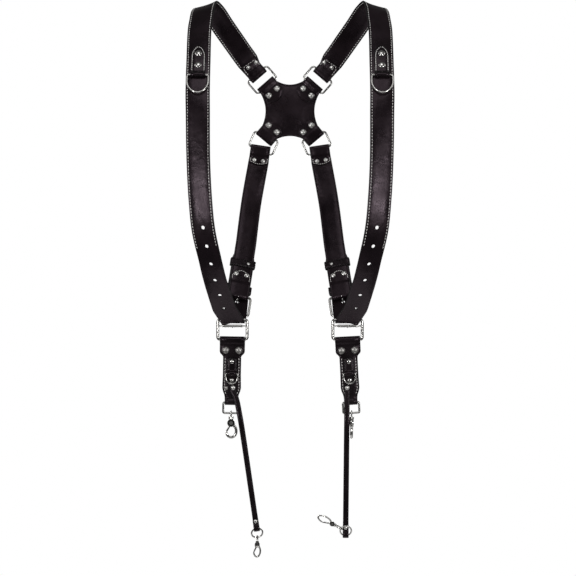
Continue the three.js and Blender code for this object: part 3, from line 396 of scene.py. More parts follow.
def plated_metal(name, bright, dull, rough):
    """Nickel over cast or drawn metal: polished, with fine scuffs and faint handling marks."""
    made, tree, place = new_material(name)
    marks = add_node(
        tree, "ShaderNodeTexNoise", {"Vector": place, "Scale": per_metre(14), "Detail": 4.0}
    )
    scuff = add_node(
        tree, "ShaderNodeTexNoise",
        {"Vector": place, "Scale": per_metre(1.5), "Detail": 6.0, "Roughness": 0.7},
    )
    colour = add_node(
        tree, "ShaderNodeMix",
        {"Factor": marks.outputs["Fac"], "A": linear(bright), "B": linear(dull)},
        data_type="RGBA",
    )
    gloss = add_node(
        tree, "ShaderNodeMapRange",
        {
            "Value": marks.outputs["Fac"],
            "From Min": 0.35,
            "From Max": 0.75,
            "To Min": rough,
            "To Max": rough + 0.14,
        },
    )
    bump = add_node(
        tree, "ShaderNodeBump",
        {"Height": scuff.outputs["Fac"], "Distance": 0.02 * MM, "Strength": 0.5},
    )
    surface = {
        "Base Color": colour.outputs["Result"],
        "Metallic": 1.0,
        "Roughness": gloss.outputs["Result"],
    }
    finish_material(tree, surface, bump)
    return made


def studio_paper():
    """Matt white paper that glows a little, so that it stays white under the dark leather."""
    made, tree, place = new_material("white_studio_paper")
    fibre = add_node(
        tree, "ShaderNodeTexNoise", {"Vector": place, "Scale": per_metre(40), "Detail": 2.0}
    )
    gloss = add_node(
        tree, "ShaderNodeMapRange",
        {"Value": fibre.outputs["Fac"], "To Min": 0.85, "To Max": 0.95},
    )
    surface = {
        "Base Color": linear("#f7f7f7"),
        "Roughness": gloss.outputs["Result"],
        "Emission Color": linear("#ffffff"),
        "Emission Strength": 0.3,
    }
    finish_material(tree, surface)
    return made


STRAP_LEATHER = drum_dyed_leather("drum_dyed_strap_leather", "#120c0f", "#1f171b", 0.28)
TRIM_LEATHER = drum_dyed_leather("drum_dyed_trim_leather", "#0c090a", "#151012", 0.25)
EDGE_PAINT = burnished_edge()
THREAD = waxed_thread("white_waxed_thread", "#ffffff", "#e2ddd6")
BLACK_THREAD = waxed_thread("black_waxed_thread", "#1d1a1b", "#131112")
NICKEL = plated_metal("polished_nickel_plate", "#e4e3e0", "#bebcb8", 0.12)
CAP_NICKEL = plated_metal("tumbled_nickel_caps", "#f2f1ee", "#d8d6d2", 0.27)
DARK_NICKEL = plated_metal("antique_nickel_caps", "#bdbbb8", "#94918e", 0.36)
# Near-black metal for the hook boss's groove floor: painted shade standing in for the shade in that recess,
# not a real finish.
SHADE_PAINTED_RECESS = plated_metal("recess_painted_shade", "#151416", "#0c0b0c", 0.3)


# Meshes


def mesh_object(name, parts, materials, sign, smooth_below=50):
    """One object from (points, faces, material numbers) parts, mirrored for the left side."""
    points = []
    faces = []
    numbers = []
    for part_points, part_faces, part_numbers in parts:
        base = len(points)
        points += [(sign * p[0] * MM, p[1] * MM, p[2] * MM) for p in part_points]
        order = (lambda face: face) if sign > 0 else (lambda face: face[::-1])
        faces += [[base + i for i in order(face)] for face in part_faces]
        numbers += part_numbers
    mesh = bpy.data.meshes.new(name)
    mesh.from_pydata(points, [], faces)
    for made in materials:
        mesh.materials.append(made)
    mesh.polygons.foreach_set("material_index", numbers)
    smoothed(mesh, smooth_below)
    made = bpy.data.objects.new(name, mesh)
    bpy.context.scene.collection.objects.link(made)
    return made


def smoothed(mesh, below):
    mesh.polygons.foreach_set("use_smooth", [True] * len(mesh.polygons))
    mesh.set_sharp_from_angle(angle=math.radians(below))


def piece(side, name, parts, materials, node=None, body="harness", smooth_below=50):
    """One named piece, on the body that it moves with, in place of the solid that it dresses."""
    made = mesh_object(side.prefix + name, parts, materials, side.sign, smooth_below)
    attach(made, body if body == "harness" else side.prefix + body)
    if node:
        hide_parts(side.prefix + node)
    return made


def metal_piece(side, name, parts, matrix, node, body="harness", metals=(NICKEL,), smooth_below=50):
    moved = [placed(part, matrix) for part in parts]
    piece(side, name, moved, metals, node, body, smooth_below)


def leather_piece(side, name, strip, node=None, leather=TRIM_LEATHER):
    return piece(side, f"{name}_leather", [strip], [leather, EDGE_PAINT], node or name)


def sew(side, name, lines, pitch=STITCH_PITCH, thread=THREAD):
    stitches = [stitch(spot) for line in lines for spot in even_spots(line, pitch)]
    piece(side, f"{name}_stitching", stitches, [thread])


def punched(made, cutters, sign):
    """The piece with holes cut through, whose walls show the sealed edge."""
    tool = mesh_object(made.name + "_cutter", cutters, [EDGE_PAINT, EDGE_PAINT], sign)
    modifier = made.modifiers.new("holes", "BOOLEAN")
    modifier.operation = "DIFFERENCE"
    modifier.solver = "EXACT"
    modifier.object = tool
    graph = bpy.context.evaluated_depsgraph_get()
    result = bpy.data.meshes.new_from_object(made.evaluated_get(graph))
    made.modifiers.clear()
    made.data = result
    bpy.data.objects.remove(tool)
    smoothed(result, 50)
    return made


def frame_at(origin, up, facing):
    """A local frame: x across, y up along the strap and z to the facing side."""
    y = up.normalized()
    z = (facing - y * facing.dot(y)).normalized()
    made = Matrix((y.cross(z), y, z)).transposed().to_4x4()
    made.translation = origin
    return made


def in_frame(matrix, x, y, z):
    return matrix @ Vector((x, y, z))


def axis(matrix, number):
    return matrix.col[number].to_3d()


def polar(radius, angle):
    turn = math.radians(angle)
    return radius * math.cos(turn), radius * math.sin(turn)


def steps_between(start, stop, count):
    return [start + (stop - start) * i / count for i in range(count + 1)]


def skin(sections, closed=False, numbers=None):
    """A closed skin through sections that all have the same number of points."""
    count = len(sections[0])
    points = [point for section in sections for point in section]
    faces = []
    marks = []
    last = len(sections) if closed else len(sections) - 1
    for s in range(last):
        here = s * count
        there = ((s + 1) % len(sections)) * count
        for i in range(count):
            j = (i + 1) % count
            faces.append([here + i, here + j, there + j, there + i])
            marks.append(numbers[i] if numbers else 0)
    if not closed:
        end = (len(sections) - 1) * count
        faces += [list(range(count))[::-1], [end + i for i in range(count)]]
        marks += [max(numbers), max(numbers)] if numbers else [0, 0]
    return points, faces, marks


def rod(points, normal, radius, sides=16, closed=False, radii=None):
    """A round rod along a path that lies in the plane with the given normal."""
    count = len(points)
    sections = []
    for i, point in enumerate(points):
        before = points[(i - 1) % count if closed else max(i - 1, 0)]
        after = points[(i + 1) % count if closed else min(i + 1, count - 1)]
        side = (after - before).normalized().cross(normal).normalized()
        size = radii[i] if radii else radius
        sections.append(
            [
                point + side * across + normal * out
                for across, out in (polar(size, 360 * k / sides) for k in range(sides))
            ]
        )
    return skin(sections, closed)


def placed(part, matrix):
    points, faces, numbers = part
    return [matrix @ Vector(p) for p in points], faces, numbers


def numbered(part, number):
    points, faces, _ = part
    return points, faces, [number] * len(faces)


def lathe(profile, sides=28):
    """Turns (radius, height) pairs round the local facing axis."""
    rings = [
        [Vector((*polar(max(radius, 0.001), 360 * k / sides), height)) for k in range(sides)]
        for radius, height in profile
    ]
    return skin(rings)


def turned_up(part):
    """A lathed part with its axis along the local up direction instead."""
    points, faces, numbers = part
    return [Vector((p[1], p[2], p[0])) for p in points], faces, numbers


def rounded_rectangle(width, height, corner, steps=6):
    x = width / 2 - corner
    y = height / 2 - corner
    outline = []
    for cx, cy, start in ((x, y, 0), (-x, y, 90), (-x, -y, 180), (x, -y, 270)):
        for angle in steps_between(start, start + 90, steps):
            dx, dy = polar(corner, angle)
            outline.append(Vector((cx + dx, cy + dy, 0)))
    return outline


def shifted(outline, up):
    return [Vector((p[0], p[1] + up, 0)) for p in outline]


# Straps

Station = namedtuple("Station", "place across width")


def directions(stations, closed=False):
    """For each station: its direction, the way across and the outer side."""
    count = len(stations)
    found = []
    for i, station in enumerate(stations):
        before = stations[(i - 1) % count if closed else max(i - 1, 0)].place
        after = stations[(i + 1) % count if closed else min(i + 1, count - 1)].place
        along = (after - before).normalized()
        across = (station.across - along * station.across.dot(along)).normalized()
        found.append((along, across, along.cross(across)))
    return found


def strap_section(half, thick, crease):
    """Half widths and heights round a strap: rounded edges, and a pressed crease inside each."""
    edge = min(0.8, 0.3 * half, 0.8 * thick)
    line = min(crease, 0.5 * half)
    wide = min(0.55, 0.2 * line)
    dip = min(0.22, 0.1 * half)
    across = [
        (half - edge, 0), (half - line + wide, 0), (half - line, dip), (half - line - wide, 0),
        (0.35 * half, 0),
    ]
    top = [(-u, thick - d) for u, d in across] + [(u, thick - d) for u, d in across[::-1]]
    right = [(half - 0.3 * edge, thick - 0.3 * edge), (half, thick - edge)]
    right += [(u, -v) for u, v in right[::-1]]
    bottom = [(u, -v) for u, v in top[::-1]]
    left = [(-u, v) for u, v in right[::-1]]
    numbers = [0] * (len(top) - 1) + [1] * (len(right) + 1)
    return top + right + bottom + left, numbers * 2


def ribbon(stations, thickness, crease=CREASE, closed=False, uneven=0.12):
    """A leather strap along stations, slightly uneven, as a strap that has been worn."""
    sections = []
    for station, (along, across, outer) in zip(stations, directions(stations, closed)):
        section, numbers = strap_section(station.width / 2, thickness / 2, crease)
        wave = uneven * noise.noise(station.place * 0.045)
        sections.append(
            [
                station.place + across * u + outer * (v + wave * (1 - abs(u) / station.width))
                for u, v in section
            ]
        )
    return skin(sections, closed, numbers)


def eased(stations, step=2.5, passes=3):
    """The same stations no further than a step apart, with their corners rounded off."""
    dense = [stations[0]]
    for last, here in zip(stations, stations[1:]):
        count = max(1, math.ceil((here.place - last.place).length / step))
        for share in steps_between(0, 1, count)[1:]:
            dense.append(between(last, here, share))
    for _ in range(passes):
        places = [station.place for station in dense]
        for i in range(1, len(dense) - 1):
            middle = (places[i - 1] + places[i + 1]) / 2
            dense[i] = dense[i]._replace(place=places[i].lerp(middle, 0.5))
    return dense


def between(last, here, share):
    return Station(
        last.place.lerp(here.place, share),
        last.across.lerp(here.across, share).normalized(),
        last.width + (here.width - last.width) * share,
    )


def smooth(stations, steps):
    """Stations along a centripetal spline through the given ones."""
    places = [station.place for station in stations]
    places = [places[0] * 2 - places[1], *places, places[-1] * 2 - places[-2]]
    dense = []
    for i in range(len(stations) - 1):
        p0, p1, p2, p3 = places[i : i + 4]
        t0, t1, t2 = (max((b - a).length ** 0.5, 1e-4) for a, b in ((p0, p1), (p1, p2), (p2, p3)))
        start = ((p1 - p0) / t0 - (p2 - p0) / (t0 + t1) + (p2 - p1) / t1) * t1
        stop = ((p2 - p1) / t1 - (p3 - p1) / (t1 + t2) + (p3 - p2) / t2) * t1
        for share in steps_between(0, 1, steps)[: steps if i < len(stations) - 2 else None]:
            a, b = share * share, share * share * share
            place = p1 * (2 * b - 3 * a + 1) + start * (b - 2 * a + share)
            place += p2 * (3 * a - 2 * b) + stop * (b - a)
            dense.append(between(stations[i], stations[i + 1], share)._replace(place=place))
    return dense


def across_at(roll, yaw):
    r = math.radians(roll)
    w = math.radians(yaw)
    return Vector((math.cos(r) * math.cos(w), math.sin(w), -math.sin(r))).normalized()


def fold_of(
    width, layer, wire, flap, play=WIRE_CLEARANCE, slack=0, skew=0, flat=0, rise=1.2, flat_back=False
):
    """The sizes of an end folded round a bar whose middle is the local origin."""
    clear = wire / 2 + play
    reach = clear / math.cos(math.radians(skew)) + width / 2 * math.tan(math.radians(abs(skew)))
    deep = reach + flat
    low = -clear - layer / 2 if flat_back else -layer / 2
    return SimpleNamespace(
        width=width, layer=layer, flap=flap, rise=rise, clear=clear, deep=deep,
        ramp=deep + 2 * clear, half=clear + layer, wide=clear + layer / 2,
        turn=clear - reach - slack, low=low, high=low + layer + FOLD_GAP, join=deep + 0.7,
    )


def rounded_tip(fold):
    """Widths near the flap's end, which is a shallow bow."""
    rows = []
    for share in (1, 0.985, 0.95, 0.89, 0.81, 0.7, 0.56, 0.4, 0.2, 0):
        width = fold.width * math.sqrt(max(1 - share, 0.0004))
        rows.append((fold.flap - fold.rise + fold.rise * share, fold.high, width))
    return rows


def turn_rows(fold):
    """From the flap's root round the bar to where the back layer lies flat."""
    rows = [(fold.ramp, fold.high, fold.width), (fold.deep, fold.wide, fold.width)]
    for angle in steps_between(90, 270, 14):
        up, out = polar(fold.wide, angle)
        rows.append((fold.turn + up, out, fold.width))
    return rows + [(fold.deep, -fold.wide, fold.width), (fold.ramp, fold.low, fold.width)]


def rows_in(matrix, rows, flip=1):
    across = axis(matrix, 0) * flip
    return [Station(in_frame(matrix, 0, up, out), across, width) for up, out, width in rows]


def fold_stations(matrix, fold, flip=1, on_to=0):
    """A folded end from the tip of its flap, round the bar and on to the strap behind."""
    rows = rounded_tip(fold) + [(fold.ramp + 2, fold.high, fold.width)] + turn_rows(fold)
    if on_to:
        rows.append((fold.ramp + on_to, fold.low, fold.width))
    return eased(rows_in(matrix, rows, flip), 1.6, 2)


def on_flap(route, fold, x, up):
    """A frame on the strap behind a fold, at this place on the flap that lies on its seen face."""
    wanted = up - fold.join
    found = directions(route)
    for i, (here, after) in enumerate(zip(route, route[1:])):
        length = (after.place - here.place).length
        if wanted <= length:
            along, across, outer = found[i]
            place = here.place.lerp(after.place, wanted / length)
            return frame_at(place + across * x - outer * (fold.layer + FOLD_GAP), along, -outer)
        wanted -= length
    raise ValueError("the flap is longer than its strap")


def laid_flap(route, fold):
    """The flap of a folded end, laid on the strap's own curve, from its tip to its root."""
    rows = rounded_tip(fold) + [(up, 0, fold.width) for up in (0.75 * fold.flap, 0.6 * fold.flap)]
    rows.append((fold.ramp + 1.5, 0, fold.width))
    stations = []
    for up, _, width in rows:
        spot = on_flap(route, fold, 0, up)
        stations.append(Station(spot.translation, axis(spot, 0), width))
    return stations


# Stitches


def even_spots(line, pitch):
    """Spots along a line of (point, outward) pairs, a pitch apart: point, direction and outward."""
    spots = []
    passed = 0
    wanted = pitch / 2
    total = sum((b[0] - a[0]).length for a, b in zip(line, line[1:]))
    for (a, out_a), (b, out_b) in zip(line, line[1:]):
        length = (b - a).length
        while length > 1e-6 and wanted <= passed + length and wanted <= total:
            share = (wanted - passed) / length
            spots.append((a.lerp(b, share), (b - a) / length, out_a.lerp(out_b, share).normalized()))
            wanted += pitch
        passed += length
    return spots


def stitch(spot):
    """One stitch: thread that rises from its hole, lies along the groove and dips again."""
    point, along, out = spot
    side = along.cross(out).normalized()
    rings = [(-1, 0.35), (-0.86, 0.75), (-0.5, 1), (0.5, 1), (0.86, 0.75), (1, 0.35)]
    sections = []
    for share, size in rings:
        centre = point + along * (share * STITCH_LENGTH / 2) - out * (0.55 * abs(share) ** 3)
        sections.append(
            [
                centre + side * (x * STITCH_WIDE / 2 * size) + out * (y * STITCH_HIGH / 2 * size)
                for x, y in (polar(1, 60 * k) for k in range(6))
            ]
        )
    return skin(sections)


def edge_lines(stations, thickness):
    """Lines for stitches in the crease along both edges, on both faces."""
    lines = []
    found = directions(stations)
    for face in (1, -1):
        for edge in (1, -1):
            line = []
            for station, (along, across, outer) in zip(stations, found):
                reach = max(station.width / 2 - CREASE, 0)
                lift = face * (thickness / 2 + 0.02)
                line.append((station.place + across * edge * reach + outer * lift, outer * face))
            lines.append(line)
    return lines


def bowed(edge, low, high, rise, steps):
    """A seam along a flap's sides and the bow at its end."""
    tip = [(edge * x, high - rise * x * x) for x in steps_between(-1, 1, steps)]
    return [(-edge, low), *tip, (edge, low)]


def flat_line(matrix, points, height, face=1):
    """A line of stitches on a face of a local frame."""
    out = axis(matrix, 2) * face
    return [(in_frame(matrix, x, y, height), out) for x, y in points]


# Rivets


def dome_rivet(radius):
    """A tubular rivet's polished cap: a thin rolled rim and a low dome."""
    high = 0.46 * radius
    dome = [(0.93 * radius * math.cos(t), 0.35 + (high - 0.35) * math.sin(t)) for t in
            (math.radians(a) for a in (0, 12, 26, 40, 54, 68, 80, 89.9))]
    rim = [(0.001, -0.6), (0.5 * radius, -0.6), (0.96 * radius, 0.02), (radius, 0.12), (radius, 0.3)]
    return lathe(rim + [(0.97 * radius, 0.42)] + dome[1:])


def rivet_at(matrix, x, up, height, radius, face=1):
    turn = Matrix.Identity(4) if face > 0 else Matrix.Rotation(math.pi, 4, "Y")
    return placed(dome_rivet(radius), matrix @ Matrix.Translation((x, up, height)) @ turn)


def riveted(matrix, x, up, front, back, caps):
    """A rivet's cap on the seen face and the one on the back."""
    return [rivet_at(matrix, x, up, front, caps[0]), rivet_at(matrix, x, up, back, caps[1], -1)]


# Frames of the rings and folds at the back


def leaning(angle):
    x, z = polar(1, angle)
    return Vector((x, 0, z))


def ring_place(out, drop, angle):
    """A back ring's frame, its upper bar and its lower bar."""
    matrix = frame_at(Vector((out, BACK_DEPTH, -drop)), leaning(angle), FRONT)
    reach = axis(matrix, 1) * (BACK_RING_SPACING / 2)
    return matrix, matrix.translation + reach, matrix.translation - reach


upper_ring_frame, upper_strap_bar, upper_plate_bar = ring_place(*UPPER_RING)
upper_arm_frame = frame_at(upper_plate_bar, leaning(UPPER_RING[2] + 180), FRONT)
strap_end_frame = frame_at(upper_strap_bar, leaning(UPPER_RING[2]), FRONT)
lower_ring_frame, lower_plate_bar, lower_strap_bar = ring_place(*LOWER_RING)
lower_arm_frame = frame_at(lower_plate_bar, leaning(LOWER_ARM_LEAN), FRONT)
back_strap_top_frame = frame_at(lower_strap_bar, leaning(BACK_STRAP_LEAN - 180), FRONT)

upper_fold = fold_of(PLATE_ARM_WIDTH, PLATE_THICK, BACK_WIRE, 29, slack=3, rise=7)
lower_fold = fold_of(
    PLATE_ARM_WIDTH - 0.8, PLATE_THICK, BACK_WIRE, 27, skew=LOWER_RING[2] - LOWER_ARM_LEAN, rise=6
)
strap_end_fold = fold_of(STRAP_END_WIDTH, STRAP_THICK, BACK_WIRE, 27, slack=3)
back_strap_top_fold = fold_of(
    BACK_STRAP_WIDTH - 1, BACK_STRAP_THICK, BACK_WIRE, 26,
    skew=LOWER_RING[2] - BACK_STRAP_LEAN, rise=4,
)

buckle_in, buckle_back, buckle_yaw = map(math.radians, BUCKLE_LEAN)
buckle_up = Vector((-math.sin(buckle_in), math.sin(buckle_back), math.cos(buckle_back)))
buckle_facing = Vector((-math.sin(buckle_yaw), -math.cos(buckle_yaw), 0))
buckle_frame = frame_at(Vector(BUCKLE_PLACE), buckle_up, buckle_facing)
buckle_fold = fold_of(
    BACK_STRAP_WIDTH - 0.6, BACK_STRAP_THICK, BUCKLE_WIRE, 48,
    flat=FIXED_KEEPER_UP + KEEPER_HEIGHT / 2 - BUCKLE_WIRE / 2 + 1, rise=12,
)
buckle_fold_back = -(BUCKLE_WIRE / 2 + WIRE_CLEARANCE + BACK_STRAP_THICK)
tail_behind_bar = buckle_fold_back - SEAT - STRAP_THICK / 2
tail_behind_strap = -BACK_STRAP_THICK - SEAT - STRAP_THICK / 2
slider_frame = frame_at(Vector((RING_OUT, RING_DEPTH, -FRONT_DROP)), UP, FRONT)


# Back plate


def bow(start, stop, rise, steps=14):
    middle = (start + stop) / 2
    half = (stop - start) / 2
    left = Vector((-half.y, half.x)).normalized()
    shares = steps_between(-1, 1, steps)
    return [middle + half * share + left * (rise * (1 - share * share)) for share in shares]


def arm_corners(matrix, fold):
    corners = [in_frame(matrix, x, fold.join, 0) for x in (-fold.width / 2, fold.width / 2)]
    return sorted((Vector((p.x, p.z)) for p in corners), key=lambda p: -p.y)


def mirrored(point):
    return Vector((-point.x, point.y))


def plate_outline():
    upper = arm_corners(upper_arm_frame, upper_fold)
    lower = arm_corners(lower_arm_frame, lower_fold)
    top_dip = upper[0].y - (PLATE_TOP_RISE - PLATE_DROP)
    bottom_dip = -PLATE_DROP - PLATE_BOTTOM_FALL - lower[1].y
    waist = (upper[1].x + lower[0].x) / 2 - PLATE_HALF_WAIST
    return [
        *bow(upper[0], mirrored(upper[0]), top_dip),
        *bow(mirrored(upper[1]), mirrored(lower[0]), waist),
        *bow(mirrored(lower[1]), lower[1], bottom_dip),
        *bow(lower[0], upper[1], waist),
    ]


def cut_sheet(outline, low, high, crease):
    """A cut sheet with rounded edges and a crease pressed inside its rim, in a local frame."""
    mesh = bmesh.new()
    face = mesh.faces.new([mesh.verts.new((p.x, p.y, low)) for p in outline])
    moved = bmesh.ops.extrude_face_region(mesh, geom=[face])
    for made in moved["geom"]:
        if isinstance(made, bmesh.types.BMVert):
            made.co.z = high
    bmesh.ops.recalc_face_normals(mesh, faces=mesh.faces)
    mesh.normal_update()
    rounding, groove, dip = 0.6, 0.55, 0.2
    rims = [
        e for e in mesh.edges
        if len(e.link_faces) == 2 and sum(abs(f.normal.z) > 0.9 for f in e.link_faces) == 1
    ]
    bmesh.ops.bevel(mesh, geom=rims, offset=rounding, segments=2, profile=0.6, affect="EDGES")
    mesh.normal_update()
    for toward in (1, -1):
        flats = [f for f in mesh.faces if f.normal.z * toward > 0.99]
        if not flats:
            continue
        main = max(flats, key=lambda f: f.calc_area())
        for inset, depth in ((crease - rounding - groove, 0), (groove, -dip), (groove, dip)):
            bmesh.ops.inset_region(mesh, faces=[main], thickness=inset, depth=depth)
    bmesh.ops.triangulate(mesh, faces=[f for f in mesh.faces if len(f.verts) > 4])
    mesh.verts.index_update()
    mesh.normal_update()
    points = [v.co.copy() for v in mesh.verts]
    faces = [[v.index for v in f.verts] for f in mesh.faces]
    numbers = [0 if abs(f.normal.z) > 0.75 else 1 for f in mesh.faces]
    mesh.free()
    return points, faces, numbers


def mirror_part(part):
    points, faces, numbers = part
    return [Vector((-p[0], p[1], p[2])) for p in points], [f[::-1] for f in faces], numbers


def back_plate():
    sheet_frame = frame_at(Vector((0, BACK_DEPTH, 0)), UP, FRONT)
    sheet = placed(cut_sheet(plate_outline(), -PLATE_THICK, 0, 3.2), sheet_frame)
    arms = []
    for matrix, fold in ((upper_arm_frame, upper_fold), (lower_arm_frame, lower_fold)):
        arm = ribbon(fold_stations(matrix, fold, on_to=4), PLATE_THICK - 0.06, uneven=0)
        arms += [arm, mirror_part(arm)]
    piece(
        MIDDLE, "back_plate_leather", [sheet, *arms], [STRAP_LEATHER, EDGE_PAINT], "back_plate"
    )


# Shoulder strap


def front_station(row):
    down, out, forward, roll, yaw = row
    x = RING_OUT + out * (CHEST_OUT - RING_OUT)
    place = Vector((x, -forward * CHEST_DEPTH, -down * FRONT_DROP))
    return Station(place, across_at(roll, yaw), STRAP_WIDTH)


def back_station(row):
    up, across, back, roll, wide = row
    bar = upper_strap_bar
    z = bar.z + up * (STRAP_THICK / 2 - bar.z)
    place = Vector((bar.x + across * (SHOULDER_OUT - bar.x), back * BACK_DEPTH, z))
    return Station(place, across_at(roll, 0), STRAP_WIDTH * wide)


wrap_radius = SLIDER_WIRE / 2 + WIRE_CLEARANCE + STRAP_THICK / 2


def wrap_contact(point, side):
    y = point.y - RING_DEPTH
    z = point.z + FRONT_DROP
    return math.atan2(z, y) + side * math.acos(wrap_radius / math.hypot(y, z))


def tail_stations():
    rows = [
        (-BUCKLE_LENGTH, BUCKLE_WIRE / 2 + SEAT + STRAP_THICK / 2, 1),
        (-1.5, tail_behind_bar, 1),
        (buckle_fold.deep + 0.5, tail_behind_bar, 1),
        (buckle_fold.ramp + 1, tail_behind_strap, 1),
        (TAIL_LENGTH - 14, tail_behind_strap, 1),
        (TAIL_LENGTH - 9, tail_behind_strap, 0.94),
        (TAIL_LENGTH - 5, tail_behind_strap, 0.78),
        (TAIL_LENGTH - 2, tail_behind_strap, 0.55),
        (TAIL_LENGTH, tail_behind_strap, 0.3),
    ]
    return rows_in(buckle_frame, [(up, out, STRAP_WIDTH * wide) for up, out, wide in rows])


def shoulder_route():
    root = in_frame(strap_end_frame, 0, strap_end_fold.join, -STRAP_THICK / 2)
    start = Station(root, axis(strap_end_frame, 0), STRAP_ROOT_WIDTH)
    saddle = Station(Vector((SHOULDER_OUT, 0, STRAP_THICK / 2)), across_at(17, 0), STRAP_WIDTH)
    over = [start, *map(back_station, BACK_ROWS), saddle, *map(front_station, FRONT_ROWS)]
    down = smooth(over, 14)
    tail = tail_stations()
    enter = wrap_contact(down[-1].place, 1)
    leave = wrap_contact(tail[0].place, -1)
    bend = []
    for angle in steps_between(enter, leave + 2 * math.pi, 20):
        y, z = wrap_radius * math.cos(angle), wrap_radius * math.sin(angle)
        place = Vector((RING_OUT - 1, RING_DEPTH + y, -FRONT_DROP + z))
        bend.append(Station(place, SIDEWAYS, STRAP_WIDTH))
    return down, bend, tail


down_route, bend_route, tail_route = shoulder_route()


def places_from_end(stations, distances):
    found = []
    passed = 0
    for i in range(len(stations) - 1, 0, -1):
        step = stations[i].place - stations[i - 1].place
        for distance in distances:
            if passed <= distance < passed + step.length:
                back = step.normalized()
                found.append((stations[i].place + back * (passed - distance), back, stations[i].across))
        passed += step.length
    return found


def punch(place, along, across):
    matrix = frame_at(place, along, along.cross(across))
    part = lathe([(HOLE_RADIUS, -2 * STRAP_THICK), (HOLE_RADIUS, 2 * STRAP_THICK)], 20)
    return numbered(placed(part, matrix), 1)


def shoulder_strap(side):
    turn = rows_in(strap_end_frame, turn_rows(strap_end_fold)[1:])
    flap = laid_flap(down_route, strap_end_fold)
    fold = eased([*flap, *turn], 1.6, 2)
    tail = eased([bend_route[-1], *tail_route], 3, 3)[1:]
    stations = [*fold[:-1], *down_route[4:], *bend_route[1:], *tail]
    strip = ribbon(stations, STRAP_THICK)
    strap = leather_piece(side, "shoulder_strap", strip, leather=STRAP_LEATHER)
    route = [*down_route, bend_route[0]]
    distances = [LOWEST_HOLE + i * HOLE_PITCH for i in range(HOLE_COUNT)]
    holes = [punch(*spot) for spot in places_from_end(route, distances)]
    across, along = axis(buckle_frame, 0), axis(buckle_frame, 1)
    for up in (TONGUE_CROSSING + HOLE_PITCH, TONGUE_CROSSING + 2 * HOLE_PITCH):
        holes.append(punch(in_frame(buckle_frame, 0, up, tail_behind_bar), along, across))
    slope = tail_route[1].place - tail_route[0].place
    share = (TONGUE_CROSSING + BUCKLE_LENGTH) / (BUCKLE_LENGTH - 1.5)
    crossing = tail_route[0].place.lerp(tail_route[1].place, share)
    holes.append(punch(crossing, slope.normalized(), across))
    punched(strap, holes, side.sign)

    seam = [s for s in down_route[4:] if s.place.z > -LOWEST_STITCH or s.place.y > 0]
    lines = edge_lines(seam, STRAP_THICK)
    edge = strap_end_fold.width / 2 - STRAP_END_SEAM[1]
    rim = [(-edge, 8), (-edge, 20.5), (-edge + 3, 24), (edge - 3, 24), (edge, 20.5), (edge, 8)]
    seam = []
    for x, up in rim:
        spot = on_flap(down_route, strap_end_fold, x, up)
        seam.append((in_frame(spot, 0, 0, STRAP_THICK / 2 + 0.02), axis(spot, 2)))
    lines.append(seam)
    sew(side, "shoulder", lines)
    rivets = []
    for x in STRAP_END_RIVETS[0]:
        spot = on_flap(down_route, strap_end_fold, x, STRAP_END_RIVETS[1])
        rivets += riveted(spot, 0, 0, STRAP_THICK / 2, -1.5 * STRAP_THICK - FOLD_GAP, STRAP_END_CAPS)
    piece(side, "strap_end_rivets", rivets, [CAP_NICKEL])


# Chest patch


def on_route(distance):
    place, along, across = places_from_end(down_route, [distance])[0]
    across = (across - along * across.dot(along)).normalized()
    return place, along, across, along.cross(across)


def distance_at_drop(drop):
    below = 0
    for low, high in zip(down_route[::-1], down_route[-2::-1]):
        if -low.place.z >= drop > -high.place.z:
            share = (-low.place.z - drop) / (high.place.z - low.place.z)
            return below + (low.place - high.place).length * share
        below += (low.place - high.place).length
    return below


chest_fold = fold_of(PATCH_WIDTH, PATCH_THICK, CHEST_RING[2], 12, flat_back=True)
patch_at = distance_at_drop(PATCH_DROP)
patch_place, patch_along, _, patch_outer = on_route(patch_at)
patch_frame = frame_at(
    patch_place + patch_outer * (STRAP_THICK / 2 + SEAT + chest_fold.half), -patch_along, patch_outer
)


ARCH_SHARES = (0.4, 0.6, 0.7, 0.78, 0.84, 0.89, 0.93, 0.96, 0.98)


def patch_layer(lift):
    """One layer of the chest patch from its fold up to the arched tip, laid along the strap."""
    reach = PATCH_LENGTH - chest_fold.ramp
    stations = []
    for share in (0.06, 0.2, *ARCH_SHARES, 0.99, 1):
        place, _, across, outer = on_route(patch_at + chest_fold.ramp + share * reach)
        stations.append(Station(place + outer * lift, across, PATCH_WIDTH * arch(share)))
    return stations


def arch(share):
    """How wide the patch is at this share of its length: straight, then a slightly pointed arch."""
    into = max(0, (share - 0.62) / 0.38)
    return max((1 - into**1.8) ** 0.6, 0.03)


def chest_patch(side):
    base = STRAP_THICK / 2 + SEAT
    front = patch_layer(base + 1.5 * PATCH_THICK + FOLD_GAP)
    back = patch_layer(base + 0.5 * PATCH_THICK)
    turn = rows_in(patch_frame, turn_rows(chest_fold))
    stations = eased([*front[::-1], *turn, *back], 1.5, 2)
    leather_piece(side, "chest_patch", ribbon(stations, PATCH_THICK, crease=2.2, uneven=0))
    reach = PATCH_LENGTH - chest_fold.ramp - CHEST_TIP_INSET
    half = []
    for share in (0.04, 0.2, *ARCH_SHARES, 1):
        place, _, across, outer = on_route(patch_at + chest_fold.ramp + share * reach)
        lift = outer * (base + 2 * PATCH_THICK + FOLD_GAP + 0.02)
        out = (PATCH_WIDTH / 2 - CHEST_PATCH_SEAM[1]) * (arch(share) if share < 1 else 0)
        half.append((place + lift, across * out, outer))
    lines = [[(p + x, out) for p, x, out in half] + [(p - x, out) for p, x, out in half[-2::-1]]]
    sew(side, "chest_patch", lines, CHEST_PATCH_SEAM[0])
    rivets = []
    for up in CHEST_RIVETS_UP:
        place, along, _, outer = on_route(patch_at + up)
        lifted = place + outer * (base + 2 * PATCH_THICK + FOLD_GAP)
        rivets.append(rivet_at(frame_at(lifted, -along, outer), 0, 0, 0, CHEST_CAP))
    piece(side, "chest_patch_rivets", rivets, [NICKEL])


# Back strap with its buckle


